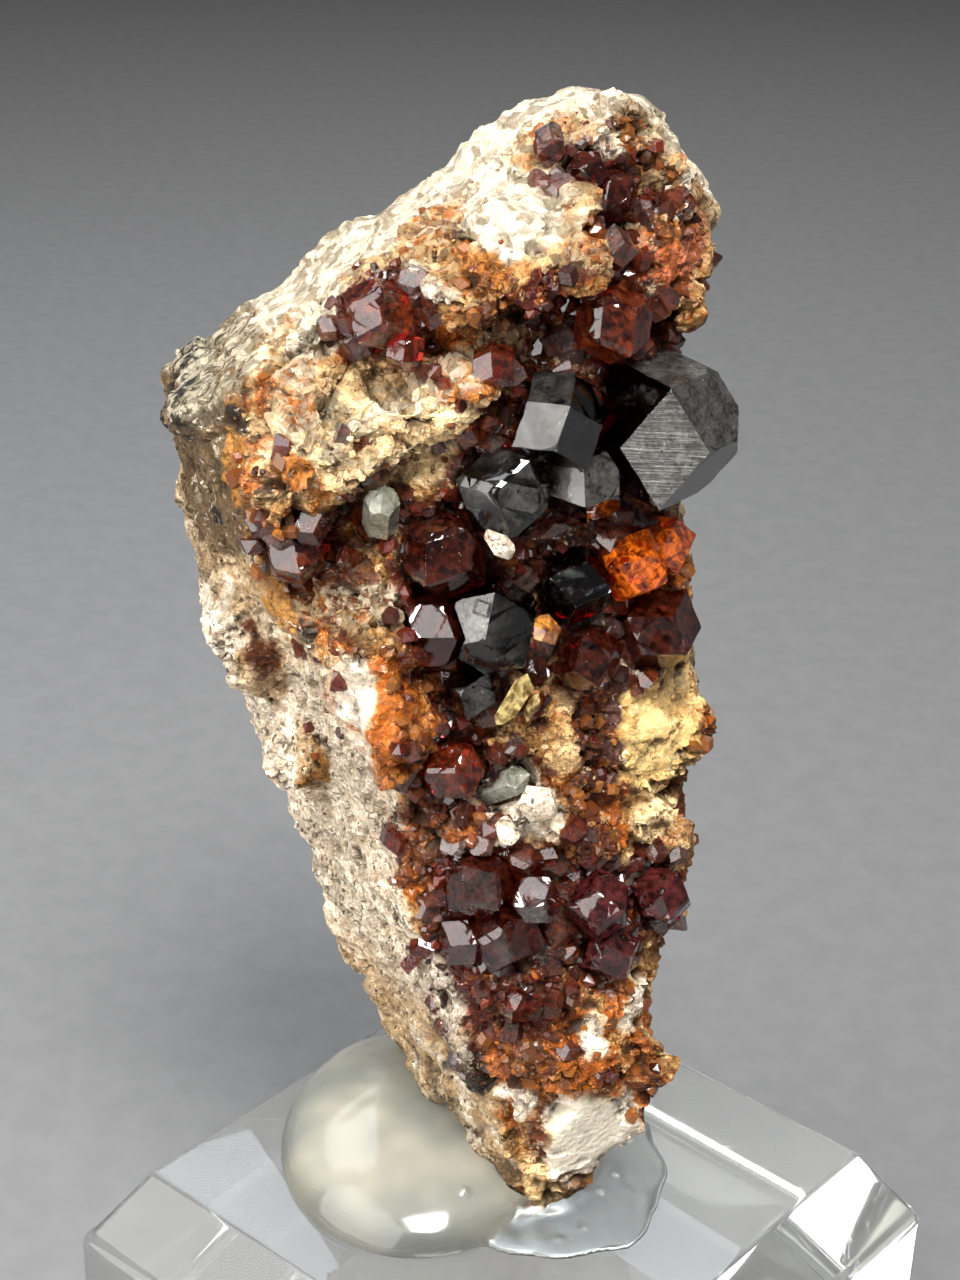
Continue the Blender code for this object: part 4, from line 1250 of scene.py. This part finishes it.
class SPECIMEN_OT_grains(bpy.types.Operator):
    """Scatter pale grains over the stone"""

    bl_idname = "specimen.grains"
    bl_label = "Pale Grains"

    def execute(self, context):
        settings = context.scene.specimen_stone
        stone = bpy.data.objects["stone_skin"]
        mesh = stone.data
        front = numbers_of(mesh, "front")
        weights = (0.12 + front) * smooth(numbers_of(mesh, "near"), 0.25, 0.5)
        weights *= (1.0 - numbers_of(mesh, "flat")) ** 2
        weights *= (1.0 - 0.7 * numbers_of(mesh, "red")) * clear_of_foot(stone)
        places, normals, owners, rng = scattered(stone, weights, settings.pale_grains, 71)
        count = len(places)
        sizes = rng.uniform(0.10, 0.40, count) ** 1.15 * MM
        turns = random_turns(rng, count)
        places = places + normals * (sizes * rng.uniform(-0.6, -0.1, count))[:, None]
        numbers = {name: numbers_of(mesh, name)[owners] for name in (*FINISHES, "slope", "wet")}
        numbers["grain"] = rng.uniform(0.0, 1.0, count)
        numbers["crack"] = np.zeros(count)
        numbers["front"] = front[owners] * 0.5
        piece = grow_grains("pale_grains", templates(300, 6), places, sizes, turns, numbers)
        hand_over(piece, stone.data.materials[0])
        return {"FINISHED"}


class SPECIMEN_OT_crumbs(bpy.types.Operator):
    """Scatter small garnets and rust grains over the red and orange parts of the stone"""

    bl_idname = "specimen.crumbs"
    bl_label = "Garnet Crumbs"

    def execute(self, context):
        settings = context.scene.specimen_stone
        stone = bpy.data.objects["stone_skin"]
        mesh = stone.data
        amount = {name: numbers_of(mesh, name) for name in FINISHES}
        near = numbers_of(mesh, "near")
        front = numbers_of(mesh, "front")
        weights = amount["red"] * 1.6 + amount["orange"] + amount["brown"] * 0.7 + amount["pink"]
        weights += amount["purple"] + amount["ochre"] * 0.4 + front * 0.02
        weights += smooth(near, 1.0, 0.3) * front * 1.2
        weights *= smooth(near, 0.15, 0.3) * (1.0 - numbers_of(mesh, "flat")) ** 2
        weights *= (1.0 - amount["cream"] * 0.85) * (1.0 - amount["white"] * 0.85) * clear_of_foot(stone)
        places, normals, owners, rng = scattered(stone, weights, settings.crumbs, 72)
        count = len(places)
        sizes = rng.uniform(0.15, 0.75, count) ** 1.6 * MM * 0.9
        turns = random_turns(rng, count)
        places = places + normals * (sizes * rng.uniform(-0.4, 0.2, count))[:, None]
        warm = amount["orange"] + amount["ochre"] * 0.8 + amount["yellow"] - amount["red"]
        numbers = {
            "grain": rng.uniform(0.0, 1.0, count) ** 1.3,
            "glow": np.clip(warm[owners] * 0.75 + rng.uniform(-0.35, 0.35, count), 0.0, 1.0),
        }
        piece = grow_grains("garnet_crumbs", templates(400, 4, 1), places, sizes, turns, numbers)
        hand_over(piece, crumb_finish(settings))
        return {"FINISHED"}


class SPECIMEN_OT_druse(bpy.types.Operator):
    """Fill the hollows between the named garnets with a crust of smaller dark ones"""

    bl_idname = "specimen.druse"
    bl_label = "Garnet Crust"

    def execute(self, context):
        settings = context.scene.specimen_crystals
        stone = bpy.data.objects["stone_skin"]
        mesh = stone.data
        near = numbers_of(mesh, "near")
        weights = smooth(near, 2.0, 0.4) * smooth(near, 0.05, 0.2) * numbers_of(mesh, "front")
        weights += numbers_of(mesh, "red") * 0.5 * smooth(near, 0.05, 0.2)
        places, normals, owners, rng = scattered(stone, weights, settings.druse, 73)
        sizes = (0.24 + rng.uniform(0.0, 1.0, len(places)) ** 2 * 0.95) * MM
        places = places + normals * (sizes * rng.uniform(-0.5, 0.3, len(places)))[:, None]
        for x, z, radius in SET_GARNETS:
            spot = on_front(stone, x, z)
            for shift in ((0.0, 0.0, 0.0), (0.75, 0.2, -0.45)):
                places = np.vstack((places, to_row(spot + np.array(shift) * radius)))
                sizes = np.append(sizes, radius * MM * (1.0 - abs(shift[0]) * 0.35))
        count = len(places)
        turns = random_turns(rng, count)
        numbers = {"frost": rng.uniform(0.0, 1.0, count) ** 4 * 0.6, "lines": np.zeros(count)}
        piece = grow_grains("garnet_druse", templates(500, 3, 1), places, sizes, turns, numbers)
        hand_over(piece, garnet_finish("crust", settings))
        return {"FINISHED"}


def etch_step(place, way):
    """A square step on a facet: a thin plate with a sunken middle."""
    deselect()
    bpy.ops.mesh.primitive_cube_add(size=2.0)
    step = bpy.context.object
    step.name = "etch_step"
    step.scale = (0.46 * MM, 0.38 * MM, 0.06 * MM)
    step.rotation_mode = "QUATERNION"
    step.rotation_quaternion = Vector(to_row(way) - to_row((0.0, 0.0, 0.0))).to_track_quat("Z", "Y")
    step.location = to_row(place)
    ring = bmesh.new()
    ring.from_mesh(step.data)
    top = [face for face in ring.faces if face.normal.z > 0.9]
    bmesh.ops.inset_region(ring, faces=top, thickness=0.42)
    bmesh.ops.translate(ring, verts=list(top[0].verts), vec=(0.0, 0.0, -1.2))
    ring.to_mesh(step.data)
    ring.free()
    finish_place(step)
    count = len(step.data.vertices)
    add_numbers(step.data, "frost", np.full(count, 0.8))
    add_numbers(step.data, "lines", np.zeros(count))
    return step


class SPECIMEN_OT_garnets(bpy.types.Operator):
    """Cut the named garnets with chipped, worn edges and an etched step on one face"""

    bl_idname = "specimen.garnets"
    bl_label = "Garnets"

    def execute(self, context):
        settings = context.scene.specimen_crystals
        looks = {look: garnet_finish(look, settings) for look in sorted(set(GARNETS.values()))}
        for number, (node, look) in enumerate(GARNETS.items()):
            piece = facet_piece(node, settings.edge, number)
            store_frost(piece, node)
            hand_over(piece, looks[look], (node,))
        hand_over(etch_step(*ETCHED_SQUARE), looks["black"])
        return {"FINISHED"}


class SPECIMEN_OT_quartz(bpy.types.Operator):
    """Finish the two smoky quartz crystals"""

    bl_idname = "specimen.quartz"
    bl_label = "Smoky Quartz"

    def execute(self, context):
        look = quartz_finish()
        for number, node in enumerate(QUARTZ):
            piece = facet_piece(node, 0.04 * MM, 50 + number)
            hand_over(piece, look, (node,))
        return {"FINISHED"}


class SPECIMEN_OT_bits(bpy.types.Operator):
    """Set the loose white, amber and brassy bits"""

    bl_idname = "specimen.bits"
    bl_label = "Loose Bits"

    def execute(self, context):
        rock = bpy.data.objects["stone_skin"].data.materials[0]
        amber = garnet_finish("amber", context.scene.specimen_crystals)
        looks = {"white": rock, "amber": amber, "brass": flake_finish()}
        for number, (name, look, middle, half, turn) in enumerate(BITS):
            chip = loose_bit(name, middle, half, turn, 600 + number)
            if look == "white":
                for label in ("grain", "white"):
                    add_numbers(chip.data, label, np.ones(len(chip.data.vertices)))
            hand_over(chip, looks[look])
        return {"FINISHED"}


class SPECIMEN_OT_block(bpy.types.Operator):
    """Cut and polish the clear block"""

    bl_idname = "specimen.block"
    bl_label = "Acrylic Block"

    def execute(self, context):
        settings = context.scene.specimen_mount
        low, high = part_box("acrylic_block")
        side = high.x - low.x
        wall = high.z - low.z - SLOPE_DOWN
        deselect()
        bpy.ops.mesh.primitive_cube_add(size=1.0, location=(0.0, 0.0, low.z + wall / 2))
        piece = bpy.context.object
        piece.name = "clear_block"
        piece.scale = (side, side, wall)
        finish_place(piece)
        mesh = piece.data
        ends = [[mesh.vertices[number].co.z for number in edge.vertices] for edge in mesh.edges]
        mesh.vertices.foreach_set("select", [False] * len(mesh.vertices))
        mesh.polygons.foreach_set("select", [False] * len(mesh.polygons))
        mesh.edges.foreach_set("select", [max(heights) - min(heights) > wall / 2 for heights in ends])
        bpy.ops.object.mode_set(mode="EDIT")
        bpy.ops.mesh.select_mode(type="EDGE")
        bpy.ops.mesh.bevel(offset=BLOCK_CORNER, segments=8, affect="EDGES")
        bpy.ops.mesh.select_mode(type="FACE")
        bpy.ops.mesh.select_all(action="DESELECT")
        bpy.ops.object.mode_set(mode="OBJECT")
        for face in mesh.polygons:
            face.select = face.normal.z > 0.9
        bpy.ops.object.mode_set(mode="EDIT")
        bpy.ops.mesh.extrude_region_move(TRANSFORM_OT_translate={"value": (0.0, 0.0, SLOPE_DOWN)})
        shrink = 1.0 - 2.0 * SLOPE_IN / side
        bpy.ops.transform.resize(value=(shrink, shrink, 1.0), center_override=(0.0, 0.0, high.z))
        deselect()
        wear_edges(piece, settings.bevel, 25.0, 30.0)
        hand_over(piece, acrylic_finish(settings), ("acrylic_block",))
        return {"FINISHED"}


# The pools of glue: middle (x, y), radii (x, y) and height in mm
GLUE_POOLS = (
    ((-5.6, 1.6), (8.6, 10.6), 4.1),
    ((2.4, -0.6), (7.6, 8.4), 0.75),
    ((0.4, -0.6), (5.6, 5.9), 2.1),
)
# How far the pools reach into the block before they are flattened, and the size of their faces
GLUE_SUNK = 0.3 * MM
GLUE_SKIN = 0.22 * MM
# Bubbles in the film: middle (x, y) and radius in mm
BUBBLES = (
    ((5.6, -3.4), 0.34),
    ((6.6, -1.8), 0.26),
    ((4.4, -6.4), 0.30),
    ((7.3, -3.0), 0.22),
    ((3.0, -7.4), 0.24),
    ((5.9, -5.2), 0.18),
    ((-2.6, -5.9), 0.28),
)


class SPECIMEN_OT_glue(bpy.types.Operator):
    """Pour the milky drop of glue, the film beside it and the rim round the stone's foot"""

    bl_idname = "specimen.glue"
    bl_label = "Clear Glue"

    def execute(self, context):
        settings = context.scene.specimen_mount
        pools = []
        for middle, radii, height in GLUE_POOLS:
            deselect()
            bpy.ops.mesh.primitive_uv_sphere_add(segments=64, ring_count=32, radius=MM)
            pool = bpy.context.object
            pool.scale = (*radii, height)
            pool.rotation_euler = (0.0, 0.0, STONE_TURN)
            pool.location = to_row((*middle, 0.0))
            finish_place(pool)
            edit(pool)
            under = (0.0, 0.0, BLOCK_TOP - GLUE_SUNK)
            bpy.ops.mesh.bisect(plane_co=under, plane_no=(0.0, 0.0, 1.0), use_fill=True, clear_inner=True)
            deselect()
            pools.append(pool)
        take(pools[0])
        for pool in pools:
            pool.select_set(True)
        bpy.ops.object.join()
        piece = pools[0]
        piece.name = "glue_drop"
        remesh(piece, GLUE_SKIN)
        modifier = piece.modifiers.new("flow", "SMOOTH")
        modifier.iterations = 12
        modifier.factor = 0.6
        apply_modifiers(piece)
        spots = to_display(points_of(piece)[0])
        lift = smooth(spots[:, 2], 0.1, 0.5)
        low = spots * (1.0, 1.0, 0.2)
        spots[:, 2] += (waves(low, 2.6, 81) * 0.10 + waves(low, 1.1, 82) * 0.05) * lift
        film = smooth(spots[:, 2], 1.3, 0.7) * smooth(spots[:, 0], -1.0, 2.0)
        spots[:, 0] += waves(spots * (1.0, 1.0, 0.1) + 9.0, 2.2, 83) * film * 0.55
        spots[:, 1] += waves(spots * (1.0, 1.0, 0.1) + 5.0, 2.0, 84) * film * 0.55
        for (x, y), radius in BUBBLES:
            away = np.hypot(spots[:, 0] - x, spots[:, 1] - y) / radius
            spots[:, 2] += np.sqrt(np.clip(1.0 - away**2, 0.0, 1.0)) * radius * 0.8 * lift
        spots[:, 2] = np.where(spots[:, 2] < 0.0, -0.03, spots[:, 2])
        set_points(piece, to_row(spots))
        (x, y), radii, _ = GLUE_POOLS[0]
        drop = np.hypot((spots[:, 0] - x) / radii[0], (spots[:, 1] - y) / radii[1])
        add_numbers(piece.data, "milk", smooth(drop, 1.08, 0.85))
        take(piece)
        bpy.ops.object.shade_smooth()
        hand_over(piece, glue_finish(settings), ("mounting_glue",))
        return {"FINISHED"}


def paint_room(world):
    """A soft room: a pale low wall all round under a dark ceiling."""
    tree = world.node_tree
    background = tree.nodes["Background"]
    place = tree.nodes.new("ShaderNodeTexCoord")
    split = tree.nodes.new("ShaderNodeSeparateXYZ")
    ramp = tree.nodes.new("ShaderNodeValToRGB")
    for number, (height, tone) in enumerate(ROOM_TONES):
        stop = ramp.color_ramp.elements[number] if number < 2 else ramp.color_ramp.elements.new(height)
        stop.position = height
        stop.color = (tone, tone * 1.01, tone * 1.03, 1.0)
    tree.links.new(place.outputs["Generated"], split.inputs[0])
    tree.links.new(split.outputs["Z"], ramp.inputs[0])
    tree.links.new(ramp.outputs[0], background.inputs["Color"])
    background.inputs["Strength"].default_value = 1.0


class SPECIMEN_OT_stage(bpy.types.Operator):
    """Set the floor, the soft lights and the camera"""

    bl_idname = "specimen.stage"
    bl_label = "Stage"

    def execute(self, context):
        settings = context.scene.specimen_stage
        scene = context.scene
        deselect()
        bpy.ops.mesh.primitive_plane_add(size=FLOOR_SIDE, location=(0.0, 0.0, -FLOOR_GAP))
        floor = bpy.context.object
        floor.name = "floor"
        finish_place(floor)
        floor.data.materials.append(floor_finish(settings))
        world = bpy.data.worlds.new("soft room")
        world.use_nodes = True
        paint_room(world)
        scene.world = world
        for name, (place, side, colour) in LIGHTS.items():
            light = bpy.data.lights.new(name + " softbox", "AREA")
            light.shape = "SQUARE"
            light.size = side
            light.energy = getattr(settings, name)
            light.color = colour
            lamp = bpy.data.objects.new(light.name, light)
            scene.collection.objects.link(lamp)
            spot = Vector(to_row(place))
            turn = (Vector(to_row((0.0, 0.0, LIT_HEIGHT))) - spot).to_track_quat("-Z", "Y")
            lamp.matrix_world = Matrix.Translation(spot) @ turn.to_matrix().to_4x4()
        scene.view_settings.view_transform = "Standard"
        scene.camera = photo_camera(scene)
        return {"FINISHED"}


def photo_camera(scene):
    """The camera at the photograph's viewing angle."""
    azimuth, height, roll = (math.radians(angle) for angle in CAMERA_ANGLES)
    back = Vector(
        (math.sin(azimuth) * math.cos(height), -math.cos(azimuth) * math.cos(height), math.sin(height))
    )
    right = Vector((math.cos(azimuth), math.sin(azimuth), 0.0))
    up = back.cross(right)
    across = right * math.cos(roll) + up * math.sin(roll)
    upward = -right * math.sin(roll) + up * math.cos(roll)
    camera = bpy.data.cameras.new("camera")
    camera.sensor_fit = "VERTICAL"
    camera.sensor_height = SENSOR_HEIGHT
    camera.lens = SENSOR_HEIGHT * CAMERA_FOCAL / FRAME_HEIGHT
    camera.clip_start = 0.001
    holder = bpy.data.objects.new("camera", camera)
    scene.collection.objects.link(holder)
    place = Matrix((across, upward, back)).transposed().to_4x4()
    place.translation = Vector(CAMERA_PLACE) * MM + Vector((0.0, 0.0, BLOCK_TOP))
    holder.matrix_world = place
    return holder


STEPS = (
    SPECIMEN_OT_block,
    SPECIMEN_OT_glue,
    SPECIMEN_OT_stone,
    SPECIMEN_OT_grains,
    SPECIMEN_OT_crumbs,
    SPECIMEN_OT_druse,
    SPECIMEN_OT_garnets,
    SPECIMEN_OT_quartz,
    SPECIMEN_OT_bits,
    SPECIMEN_OT_stage,
)


class SPECIMEN_PT_panel(bpy.types.Panel):
    """The sidebar panel that lists the steps"""

    bl_idname = "SPECIMEN_PT_panel"
    bl_label = "Garnet in Matrix"
    bl_space_type = "VIEW_3D"
    bl_region_type = "UI"
    bl_category = "Specimen"

    def draw(self, context):
        for step in STEPS:
            self.layout.operator(step.bl_idname)
        for group in GROUPS:
            settings = getattr(context.scene, group)
            box = self.layout.box()
            for name in settings.__annotations__:
                box.prop(settings, name)


GROUPS = {
    "specimen_stone": StoneSettings,
    "specimen_crystals": CrystalSettings,
    "specimen_mount": MountSettings,
    "specimen_stage": StageSettings,
}


def register():
    """Adds the settings, the steps and the panel."""
    for group, kind in GROUPS.items():
        bpy.utils.register_class(kind)
        setattr(bpy.types.Scene, group, bpy.props.PointerProperty(type=kind))
    for step in STEPS:
        bpy.utils.register_class(step)
    bpy.utils.register_class(SPECIMEN_PT_panel)


def unregister():
    """Takes them out again."""
    bpy.utils.unregister_class(SPECIMEN_PT_panel)
    for step in reversed(STEPS):
        bpy.utils.unregister_class(step)
    for group, kind in GROUPS.items():
        delattr(bpy.types.Scene, group)
        bpy.utils.unregister_class(kind)


def main():
    """Runs every step in order."""
    register()
    bpy.ops.specimen.block()
    bpy.ops.specimen.glue()
    bpy.ops.specimen.stone()
    bpy.ops.specimen.grains()
    bpy.ops.specimen.crumbs()
    bpy.ops.specimen.druse()
    bpy.ops.specimen.garnets()
    bpy.ops.specimen.quartz()
    bpy.ops.specimen.bits()
    bpy.ops.specimen.stage()


if __name__ == "__main__":
    main()
